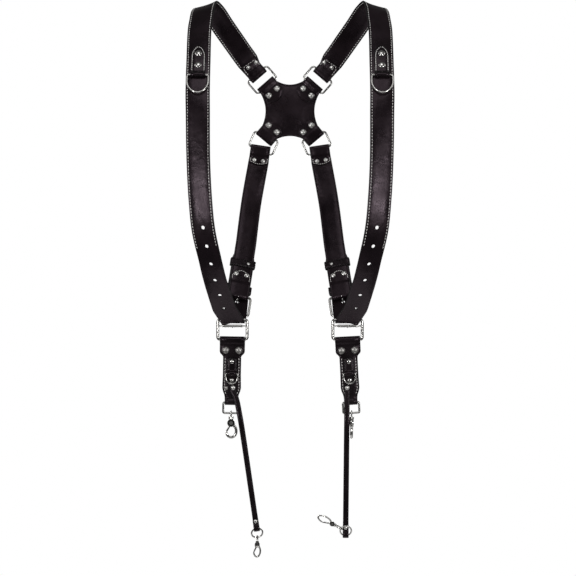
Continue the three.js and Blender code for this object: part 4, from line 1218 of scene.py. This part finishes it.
def back_strap(side):
    bottom = fold_stations(buckle_frame, buckle_fold)
    top = fold_stations(back_strap_top_frame, back_strap_top_fold, flip=-1)[::-1]
    half = -BACK_STRAP_THICK / 2
    straight = in_frame(buckle_frame, 0, STRAIGHT_ABOVE_BUCKLE, half)
    high = in_frame(back_strap_top_frame, 0, back_strap_top_fold.join + 12, half)
    buckle_across = axis(buckle_frame, 0)
    top_across = -axis(back_strap_top_frame, 0)
    rows = [
        (in_frame(buckle_frame, 0, buckle_fold.ramp + 4, half), buckle_across),
        (in_frame(buckle_frame, 0, STRAIGHT_ABOVE_BUCKLE - 8, half), buckle_across),
        (straight, across_at(-7, -12)),
        (straight.lerp(high, 0.5) + Vector((2, 6, 0)), across_at(-8, -14)),
        (high, top_across),
    ]
    middle = [Station(place, across, BACK_STRAP_WIDTH) for place, across in rows]
    stations = [*bottom, *smooth(middle, 22), *top]
    strip = ribbon(stations, BACK_STRAP_THICK, uneven=0.1)
    strap = leather_piece(side, "back_strap", strip, leather=STRAP_LEATHER)
    corners = [
        Vector((x, y, z)) for y in (-20, BUCKLE_WIRE / 2 + WIRE_CLEARANCE + 2)
        for x, z in ((-2, -10), (2, -10), (2, 10), (-2, 10))
    ]
    faces = [[0, 1, 5, 4], [1, 2, 6, 5], [2, 3, 7, 6], [3, 0, 4, 7], [3, 2, 1, 0], [4, 5, 6, 7]]
    slot = placed((corners, faces, [1] * 6), buckle_frame)
    punched(strap, [slot], side.sign)

    face = back_strap_top_fold.high + BACK_STRAP_THICK / 2
    line = bowed(back_strap_top_fold.width / 2 - STRAP_END_SEAM[1], 14, 23.4, 3.6, 12)
    buckle_face = buckle_fold.high + BACK_STRAP_THICK / 2
    buckle_line = bowed(buckle_fold.width / 2 - STRAP_END_SEAM[1], 27, 44.5, 9.5, 16)
    lines = [flat_line(back_strap_top_frame, line, face), flat_line(buckle_frame, buckle_line, buckle_face)]
    sew(side, "back_strap", lines, STRAP_END_SEAM[0])
    rivets = []
    for matrix, (spread, up), front, caps in (
        (back_strap_top_frame, BACK_STRAP_TOP_RIVETS, face, BACK_STRAP_TOP_CAPS),
        (buckle_frame, BUCKLE_FLAP_RIVETS, buckle_face, BUCKLE_FLAP_CAPS),
    ):
        for x in (-spread, spread):
            rivets += riveted(matrix, x, up, front, -BACK_STRAP_THICK, caps)
    piece(side, "back_strap_rivets", rivets, [CAP_NICKEL])


def keeper(side, name, up, inner, outer):
    """A leather loop round the doubled straps."""
    outline = rounded_rectangle(STRAP_WIDTH + 1 + KEEPER_THICK, outer - inner + KEEPER_THICK, 1.9, 5)
    middle = (outer + inner) / 2
    stations = []
    for i, point in enumerate(outline):
        after = outline[(i + 1) % len(outline)]
        gap = (after - point).length
        for share in steps_between(0, 1, max(1, round(gap / 2.5)))[:-1]:
            here = point.lerp(after, share)
            place = in_frame(buckle_frame, here.x, up, middle + here.y)
            stations.append(Station(place, axis(buckle_frame, 1), KEEPER_HEIGHT))
    leather_piece(side, name, ribbon(stations, KEEPER_THICK, crease=1.8, closed=True, uneven=0.05))


def buckle(side):
    outline = rounded_rectangle(BUCKLE_INNER + BUCKLE_WIRE, BUCKLE_LENGTH, BUCKLE_WIRE)
    loop = rod(shifted(outline, -BUCKLE_LENGTH / 2), UP, BUCKLE_WIRE / 2, 18, True)
    metal_piece(side, "buckle_wire", [loop], buckle_frame, "buckle_frame")
    radius = TONGUE_WIRE / 2
    reach = BUCKLE_WIRE / 2 + 0.35 + radius
    eye = [Vector((0, *polar(reach, angle))) for angle in steps_between(-90, 230, 26)]
    outside = tail_behind_bar + 1.2
    shank = [
        (-reach + 0.3, 0.2), (-reach - 2.4, 0.5), (TONGUE_CROSSING + 1.9, -0.3),
        (TONGUE_CROSSING - 1.9, outside - 0.4), (TONGUE_CROSSING - 4.5, outside - 0.9),
        (-BUCKLE_LENGTH * 0.75, -0.72 * BUCKLE_WIRE - radius - 1.2),
        (-BUCKLE_LENGTH - 1.6, -BUCKLE_WIRE / 2 - SEAT - radius),
    ]
    path = eased([Station(Vector((0, y, z)), SIDEWAYS, 1) for y, z in shank], 1, 2)
    parts = [
        rod(eye, SIDEWAYS, radius, 12),
        rod([station.place for station in path], SIDEWAYS, radius, 12),
    ]
    metal_piece(side, "buckle_tongue_wire", parts, buckle_frame, "buckle_tongue")
    inside = tail_behind_bar - STRAP_THICK / 2 - SEAT
    keeper(side, "fixed_keeper", FIXED_KEEPER_UP, inside, -KEEPER_THICK / 2)
    inside = tail_behind_strap - STRAP_THICK / 2 - SEAT
    keeper(side, "sliding_keeper", SLIDING_KEEPER_UP, inside, SEAT)
    rivet = rivet_at(buckle_frame, -9, SLIDING_KEEPER_UP, SEAT + KEEPER_THICK, KEEPER_CAP)
    piece(side, "keeper_rivet", [rivet], [CAP_NICKEL])


# Rings


def wire_ring(side, node, outline, wire, matrix, body="harness"):
    loop = rod(outline, UP, wire / 2, 18, True)
    metal_piece(side, f"{node}_wire", [loop], matrix, node, body)


def d_outline(width, height):
    half = width / 2
    shoulder = height * 0.35
    corner = 0.09 * width
    right = [Vector((half - corner + x, y - corner, 0)) for x, y in
             (polar(corner, a) for a in steps_between(90, 0, 6))]
    bend = []
    for angle in steps_between(0, 180, 30):
        x, y = polar(1, angle)
        bend.append(Vector((half * x, -shoulder - (height - shoulder) * y, 0)))
    left = [Vector((-p.x, p.y, 0)) for p in right[::-1]]
    return [*right, *bend, *left]


def rings(side, tab):
    outline = rounded_rectangle(BACK_RING_WIDTH, BACK_RING_SPACING, 5)
    for name, matrix in (("upper_ring", upper_ring_frame), ("lower_ring", lower_ring_frame)):
        wire_ring(side, name, outline, BACK_WIRE, matrix)
    for name, matrix, size in (("chest", patch_frame, CHEST_RING), ("drop", tab.patch, DROP_RING)):
        width, height, wire = size
        outline = d_outline(width - wire, height - wire / 2)
        wire_ring(side, f"{name}_d_ring", outline, wire, matrix, f"{name}_ring")
    link = shifted(rounded_rectangle(LINK_WIDTH, LINK_HEIGHT, 2.6), -LINK_HEIGHT / 2)
    wire_ring(side, "drop_link", link, LINK_WIRE, tab.link)


def slider(side):
    """The large ring with its middle bar, whose ends are pinched to points, and the bar's nib."""
    radius = SLIDER_WIRE / 2
    width = SLIDER_INNER + SLIDER_WIRE
    outline = shifted(rounded_rectangle(width, SLIDER_HEIGHT, 4), -SLIDER_HEIGHT / 2)
    loop = rod(outline, UP, radius, 20, True)
    half = width / 2
    rows = [
        (-half, 0.4), (-half + 5, 0.42), (-half + 6.6, 0.6), (-half + 8.6, 0.84), (-half + 10, 0.9),
        (half - 10, 0.9), (half - 8.6, 0.84), (half - 6.6, 0.6), (half - 5, 0.42), (half, 0.4),
    ]
    path = [Vector((x, -SLIDER_MIDDLE, 0)) for x, _ in rows]
    bar = rod(path, UP, radius, 16, False, [radius * r for _, r in rows])
    nib = lathe([(0.9 * math.cos(t) + 0.001, 1.4 * math.sin(t)) for t in
                 (math.radians(a) for a in steps_between(-90, 90, 8))], 14)
    upright = Matrix.Rotation(math.pi / 2, 4, "X")
    nib = placed(nib, Matrix.Translation((0, -SLIDER_MIDDLE - 1.9, 0)) @ upright)
    metal_piece(side, "slider_ring_metal", [loop, bar, nib], slider_frame, "slider_ring")


# Drop tab

drop_patch_fold = fold_of(16, PATCH_THICK, DROP_RING[2], 27, rise=3, flat_back=True)
drop_patch_lift = TAB_THICK + SEAT + drop_patch_fold.half


def tab_frames(lean):
    x, z = polar(1, lean - 90)
    down = Vector((x, 0, z))
    tab = frame_at(Vector((RING_OUT, RING_DEPTH, -FRONT_DROP - SLIDER_HEIGHT)), down, FRONT)
    return SimpleNamespace(
        tab=tab,
        link=frame_at(in_frame(tab, 0, TAB_LENGTH, 0), -down, FRONT),
        patch=frame_at(in_frame(tab, 0, DROP_PATCH_DROP, drop_patch_lift), -down, FRONT),
    )


TAB_WIDTHS = [
    (0, 41), (TAB_HEAD_LENGTH, 41), (23, 38.6), (25.5, 33.2), (28, 29.8), (31, 29.5), (59, 29.5),
    (72, 30.2), (79.5, 30.5), (85, 28), (90, 24), (94, 22.4), (TAB_LENGTH, 21.5),
]


def tab_width(down):
    for (start, width), (stop, wider) in zip(TAB_WIDTHS, TAB_WIDTHS[1:]):
        if down <= stop:
            return width + (wider - width) * max(0, down - start) / (stop - start)
    return TAB_WIDTHS[-1][1]


def drop_tab(side, frames):
    """One strip round the slider's bar and the link's bar, its two layers sewn together."""
    head = fold_of(41, TAB_THICK, SLIDER_WIRE, 20)
    foot = fold_of(21.5, TAB_THICK, LINK_WIRE, 14)
    layer = TAB_THICK / 2 + FOLD_GAP / 2
    meet = 0.5 * TAB_LENGTH
    rows = [(meet + 0.25, -layer), (head.ramp, -layer), (head.deep, -head.wide)]
    rows += [polar(head.wide, angle) for angle in steps_between(270, 90, 16)]
    rows += [(head.deep, head.wide), (head.ramp, layer)]
    rows += [(down, layer) for down in (19, 22, 25, 28, 31, 60, 74, 80, 85, 90, TAB_LENGTH - foot.ramp)]
    rows.append((TAB_LENGTH - foot.deep, foot.wide))
    for angle in steps_between(90, -90, 14):
        down, out = polar(foot.wide, angle)
        rows.append((TAB_LENGTH + down, out))
    rows += [(TAB_LENGTH - foot.deep, -foot.wide), (TAB_LENGTH - foot.ramp, -layer)]
    rows += [(down, -layer) for down in (90, 85, 80, 74, meet - 0.25)]
    stations = eased(rows_in(frames.tab, [(d, z, 1) for d, z in rows], flip=-1), 1.5, 2)
    turned = frames.tab.inverted()
    stations = [s._replace(width=tab_width((turned @ s.place).y)) for s in stations]
    leather_piece(side, "drop_tab", ribbon(stations, TAB_THICK, uneven=0.05))
    lines = []
    for face in (1, -1):
        for edge in (1, -1):
            points = [(edge * (tab_width(d) / 2 - TAB_SEAM[1]), d) for d in steps_between(30, 88, 30)]
            lines.append(flat_line(frames.tab, points, face * (TAB_THICK + 0.06), face))
    front = flat_line(frames.tab, [(x, 8.4) for x in steps_between(-17, 17, 4)], TAB_THICK + 0.05)
    sew(side, "drop_tab", [*lines, front], TAB_SEAM[0])
    for i, x in enumerate((-TAB_RIVET_SPACING / 2, TAB_RIVET_SPACING / 2)):
        caps = riveted(frames.tab, x, TAB_RIVET_DROP, TAB_THICK + 0.04, -TAB_THICK - 0.04, TAB_CAPS)
        node = f"tab_rivet_{i + 1}"
        piece(side, f"{node}_cap", caps, [DARK_NICKEL], node)


def drop_patch(side, frames):
    fold = drop_patch_fold
    rows = rounded_tip(fold) + [(fold.ramp + 2, fold.high, fold.width)] + turn_rows(fold)
    ends = [(up, fold.low, wide) for up, _, wide in rounded_tip(fold)[::-1]]
    strip = eased(rows_in(frames.patch, rows + ends), 1.2, 2)
    leather_piece(side, "drop_patch", ribbon(strip, PATCH_THICK, crease=1.9, uneven=0))
    top = fold.high + PATCH_THICK / 2
    line = flat_line(frames.patch, bowed(fold.width / 2 - DROP_PATCH_SEAM[1], 7, 25, 2.6, 8), top)
    sew(side, "drop_patch", [line], DROP_PATCH_SEAM[0], BLACK_THREAD)
    cap, back_cap = SMALL_TAB_CAPS
    above, below = DROP_PATCH_RIVETS
    face = TAB_THICK + 0.05
    caps = [
        rivet_at(frames.patch, 0, above, top, cap),
        rivet_at(frames.tab, 0, DROP_PATCH_DROP - above, -face, back_cap, -1),
        *riveted(frames.tab, 0, DROP_PATCH_DROP + below, face, -face, SMALL_TAB_CAPS),
    ]
    piece(side, "drop_patch_rivets", caps, [NICKEL])
    if side.sign < 0:
        cap = rivet_at(frames.tab, -8.9, TETHER_TOP + 0.6, TAB_THICK + 0.04, SMALL_TAB_CAPS[1])
        piece(side, "tab_foot_rivet", [cap], [DARK_NICKEL])


# Swivel hooks


def hook_levels(hook):
    """How high each part of a hook lies, from the bar that it hangs on."""
    _, eye_height, eye_wire = hook.eye
    top = hook.bar / 2 + SEAT + eye_wire / 2
    bottom = top - (eye_height - eye_wire)
    shoulder = bottom - eye_wire / 2
    head_top = shoulder - hook.stud[1]
    cavity_bottom = head_top - hook.stud_head - SEAT
    barrel_bottom = cavity_bottom - hook.barrel[1]
    boss = barrel_bottom - 0.8 * hook.boss[0]
    depth = hook.bow[0] * hook.bow[1]
    return SimpleNamespace(
        top=top, bottom=bottom, shoulder=shoulder, barrel_top=shoulder - SEAT, head_top=head_top,
        boss=boss, depth=depth, middle=boss - 0.5 * hook.boss[0] - depth,
    )


def bow_point(hook, at, angle):
    x, y = polar(1, angle)
    return Vector((hook.bow[0] * x, at.middle + at.depth * y, 0))


def swivel_eye(side, hook, at, matrix):
    width, height, wire = hook.eye[0] - hook.eye[2], hook.eye[1] - hook.eye[2], hook.eye[2]
    outline = shifted(rounded_rectangle(width, height, 0.45 * width), (at.top + at.bottom) / 2)
    stud = hook.stud[0]
    collar = [
        (stud, at.head_top), (stud, at.shoulder - 0.2), (stud + 0.6, at.shoulder + 0.1),
        (stud + 0.7, at.shoulder + 0.8), (stud + 0.1, at.bottom),
    ]
    parts = [rod(outline, UP, wire / 2, 16, True), turned_up(lathe(collar, 20))]
    metal_piece(side, f"{hook.names[0]}_metal", parts, matrix, hook.names[0])


def snap_hook(side, hook, at, matrix):
    """Cast hook: a swivel barrel, a round boss whose shallow groove floor is painted near-black as painted
    shade, and a tapering bow.
    """
    radius, thickness = hook.boss
    thick = thickness / 2
    boss = [
        (0.001, -thick), (0.5 * radius, -thick), (0.5 * radius, -thick + 0.35),
        (0.8 * radius, -thick + 0.35), (0.8 * radius, -thick), (0.94 * radius, -thick),
        (radius, -thick + 0.5), (radius, thick - 0.5), (0.94 * radius, thick),
        (0.8 * radius, thick), (0.8 * radius, thick - 0.35), (0.5 * radius, thick - 0.35),
        (0.5 * radius, thick), (0.001, thick),
    ]
    sides = 36
    disc = list(placed(lathe(boss, sides), Matrix.Translation((0, at.boss, 0))))
    # The groove floor faces take the second material, painted near-black as painted shade.
    groove = {2, 10}
    disc[2] = [1 if i // sides in groove else 0 for i in range(len(disc[1]))]
    barrel_radius = hook.barrel[0]
    barrel = [
        (0.5 * barrel_radius, at.boss + 0.7 * radius), (barrel_radius, at.boss + radius),
        (barrel_radius, at.barrel_top - 0.8), (barrel_radius - 0.5, at.barrel_top),
        (hook.stud[0] + 0.35, at.barrel_top), (hook.stud[0] + 0.35, at.barrel_top - 0.8),
    ]
    path = [bow_point(hook, at, angle) for angle in steps_between(115, 350, 34)]
    wire = hook.bow[2] / 2
    sizes = [
        wire * (1.12 - 0.12 * min(i / 8, 1) - 0.1 * max(0, (i - 22) / 12)) for i in range(len(path))
    ]
    sizes[0] *= 0.9
    sizes[-1] *= 0.72
    tip = path[-1] + (path[-1] - path[-2]) * 0.35
    bow_rod = rod([*path, tip], UP, wire, 16, False, [*sizes, 0.3 * wire])
    parts = [disc, turned_up(lathe(barrel, 28)), bow_rod]
    metals = [NICKEL, SHADE_PAINTED_RECESS]
    metal_piece(
        side, f"{hook.names[1]}_metal", parts, matrix, hook.names[1], hook.bodies[0], metals, 40
    )


def snap_gate(side, hook, at, matrix):
    """The sprung gate: a bar that tapers to the bow's tip."""
    pivot = Vector((0, at.boss, 0))
    along = bow_point(hook, at, 350) - pivot
    length = along.length - 0.5 * hook.gate[1] - SEAT
    thin, wide = hook.gate
    sections = []
    rows = [(0.25, 0.9), (1.2, 1), (0.6 * length, 0.92), (length + 0.5, 0.82), (length + 0.9, 0.6)]
    for reach, size in rows:
        outline = rounded_rectangle(wide * size, thin * (0.6 + 0.4 * size), 0.225 * thin, 3)
        sections.append([Vector((reach, p.x, p.y)) for p in outline])
    bar = skin(sections)
    turn = Matrix.Translation(pivot) @ Matrix.Rotation(math.atan2(along.y, along.x), 4, "Z")
    metal_piece(
        side, f"{hook.names[2]}_metal", [bar], matrix @ turn, hook.names[2], hook.bodies[1]
    )


def swivel_hook(side, hook, eye_frame, hook_frame):
    """A swivel eye on its bar, with the hook and its gate below it."""
    at = hook_levels(hook)
    swivel_eye(side, hook, at, eye_frame)
    snap_hook(side, hook, at, hook_frame)
    snap_gate(side, hook, at, hook_frame)


# Tether


def tether_point(tab, side, row):
    down, across, forward = row
    top = in_frame(tab, side.inset, TETHER_TOP, TAB_THICK + SEAT + TETHER_THICK / 2)
    x = top.x + across * (side.out - top.x)
    return Vector((x, top.y - forward * TETHER_FORWARD, top.z + down * (-side.drop - top.z)))


tether_fold = fold_of(TETHER_WIDTH, TETHER_THICK, TETHER_RING_WIRE, 17, play=1.3, rise=3)


def tether(side, tab):
    origin = tether_point(tab, side, (1, 1, 1))
    end_frame = frame_at(origin, tether_point(tab, side, TETHER_ROWS[-1]) - origin, FRONT)
    across = -axis(tab, 0)
    foot_across = axis(end_frame, 0)
    width = TETHER_WIDTH - 0.5
    lie = TAB_THICK + SEAT + TETHER_THICK / 2
    on_tab = [
        Station(in_frame(tab, side.inset, TETHER_TOP + down * TETHER_WIDTH, lie), across, width * wide)
        for down, wide in (
            (-0.47, 0.1), (-0.44, 0.42), (-0.36, 0.66), (-0.24, 0.86), (-0.1, 0.97), (0.1, 1), (0.5, 1),
        )
    ]
    knee = [Station(tether_point(tab, side, row), foot_across, width) for row in TETHER_ROWS]
    fold = fold_stations(end_frame, tether_fold)[::-1]
    above = Station(in_frame(end_frame, 0, 24, -TETHER_THICK / 2), foot_across, width)
    stations = [*on_tab[:-1], *smooth([on_tab[-1], *knee, above], 24), *fold]
    leather_piece(side, "tether", ribbon(stations, TETHER_THICK, crease=1.5, uneven=0.1), "tether_strap")
    flap = tether_fold.high + TETHER_THICK / 2
    face = lie + TETHER_THICK / 2
    caps = riveted(tab, side.inset, TETHER_TOP - 0.2, face, -TAB_THICK - 0.05, SMALL_TAB_CAPS)
    caps += riveted(end_frame, 0, TETHER_RIVET_UP, flap, -TETHER_THICK, TETHER_END_CAPS)
    piece(side, "tether_rivets", caps, [CAP_NICKEL])
    tether_end(side, end_frame)


def tether_end(side, end_frame):
    """The round ring in the tether's foot and the clasp on it, each as it hangs in the photograph."""
    swing = math.radians(side.ring_swing)
    turn = end_frame.to_3x3()
    away = turn @ Vector((0, -math.cos(swing), math.sin(swing)))
    centre = end_frame.translation + away * (TETHER_RING_RADIUS - TETHER_RING_SAG)
    ring = frame_at(centre, -away, axis(end_frame, 0).cross(-away))
    outline = [Vector((*polar(TETHER_RING_RADIUS, 360 * k / 40), 0)) for k in range(40)]
    wire_ring(side, "tether_ring", outline, TETHER_RING_WIRE, ring)
    x, y = polar(1, -90 - side.around)
    out = Vector((x, y, 0))
    hook_origin = ring @ (out * TETHER_RING_RADIUS)
    tangent = ring.to_3x3() @ Vector((-y, x, 0))
    lean = math.radians(side.hook_lean)
    leaned = Vector((0, math.sin(lean), math.cos(lean)))
    up = leaned if side.hook_lean > 0 else -(ring.to_3x3() @ out)
    eye_frame = frame_at(hook_origin, up, tangent)
    swivel_hook(side, TETHER_HOOK, eye_frame, frame_at(hook_origin, up, FRONT))


def plate_rivets(side):
    rows = (
        ("upper", upper_arm_frame, UPPER_PLATE_RIVETS_UP, upper_fold),
        ("lower", lower_arm_frame, LOWER_PLATE_RIVETS_UP, lower_fold),
    )
    for row, matrix, up, fold in rows:
        for i, x in enumerate((-PLATE_RIVET_SPACING / 2, PLATE_RIVET_SPACING / 2)):
            face = fold.high + PLATE_THICK / 2 - 0.03
            caps = riveted(matrix, x, up, face, -PLATE_THICK, PLATE_CAPS)
            node = f"{row}_plate_rivet_{i + 1}"
            piece(side, f"{node}_cap", caps, [CAP_NICKEL], node)


def build_side(side):
    frames = tab_frames(side.lean)
    shoulder_strap(side)
    chest_patch(side)
    back_strap(side)
    buckle(side)
    slider(side)
    rings(side, frames)
    plate_rivets(side)
    drop_tab(side, frames)
    drop_patch(side, frames)
    origin = in_frame(frames.link, 0, -LINK_HEIGHT, 0)
    hook_frame = frame_at(origin, UP, FRONT if side.sign < 0 else SIDEWAYS)
    swivel_hook(side, DROP_HOOK, frame_at(origin, UP, SIDEWAYS), hook_frame)
    tether(side, frames.tab)


# Studio, in metres

IMAGE_PIXELS = 576
FOCAL_PIXELS = 1135
SHIFT_PIXELS = -2
CAMERA_PLACE = (0, -1.86, -0.4603)
FLOOR_RADIUS = 0.7
FLOOR_HEIGHT = -1.45
ROOM_STRENGTH = 0.11
LAMP_AIM = Vector((0, 0, -0.4))
# The strips in front give the chest its sheen, and the softboxes light the metal from the sides.
LIGHTS = [
    ("left_strip", (-1.25, -2.15, -0.3), 0.6, 12.5),
    ("right_strip", (1.25, -2.15, -0.3), 0.6, 12.5),
    ("high_softbox", (0, -1.9, 1.6), 1.5, 9),
    ("left_softbox", (-2.6, 0, 0.5), 1.8, 7),
    ("right_softbox", (2.6, 0, 0.5), 1.8, 7),
    ("back_softbox", (0, 2.4, -0.7), 0.9, 13),
]


def studio_floor():
    mesh = bpy.data.meshes.new("floor")
    points = [(*polar(FLOOR_RADIUS, 360 * k / 48), FLOOR_HEIGHT) for k in range(48)]
    mesh.from_pydata(points, [], [range(48)])
    mesh.materials.append(studio_paper())
    floor = bpy.data.objects.new("floor", mesh)
    bpy.context.scene.collection.objects.link(floor)


def room():
    """Dim light all round, and a white backdrop that the leather and the metal don't mirror."""
    world = bpy.data.worlds.new("soft_studio")
    world.use_nodes = True
    tree = world.node_tree
    tree.nodes.clear()
    dim = add_node(tree, "ShaderNodeBackground", {"Color": (1, 1, 1, 1), "Strength": ROOM_STRENGTH})
    backdrop = add_node(tree, "ShaderNodeBackground", {"Color": (1, 1, 1, 1), "Strength": 1.0})
    seen = add_node(tree, "ShaderNodeLightPath").outputs["Is Camera Ray"]
    shade = add_node(tree, "ShaderNodeMixShader", {"Fac": seen})
    tree.links.new(dim.outputs["Background"], shade.inputs[1])
    tree.links.new(backdrop.outputs["Background"], shade.inputs[2])
    add_node(tree, "ShaderNodeOutputWorld", {"Surface": shade.outputs["Shader"]})
    bpy.context.scene.world = world


def lamps():
    for name, place, size, power in LIGHTS:
        data = bpy.data.lights.new(name, "AREA")
        data.shape = "DISK"
        data.size = size
        data.energy = power
        lamp = bpy.data.objects.new(name, data)
        lamp.location = place
        lamp.rotation_euler = (LAMP_AIM - Vector(place)).to_track_quat("-Z", "Y").to_euler()
        bpy.context.scene.collection.objects.link(lamp)


def camera():
    """The view of the photograph: level, in front of the chest."""
    data = bpy.data.cameras.new("camera")
    data.sensor_width = 36
    data.lens = data.sensor_width * FOCAL_PIXELS / IMAGE_PIXELS
    data.shift_x = SHIFT_PIXELS / IMAGE_PIXELS
    made = bpy.data.objects.new("camera", data)
    made.location = CAMERA_PLACE
    made.rotation_euler = (math.pi / 2, 0, 0)
    bpy.context.scene.collection.objects.link(made)
    bpy.context.scene.camera = made


camera()
studio_floor()
room()
lamps()
back_plate()
for harness_side in SIDES:
    build_side(harness_side)
bpy.context.scene.view_settings.view_transform = "Standard"
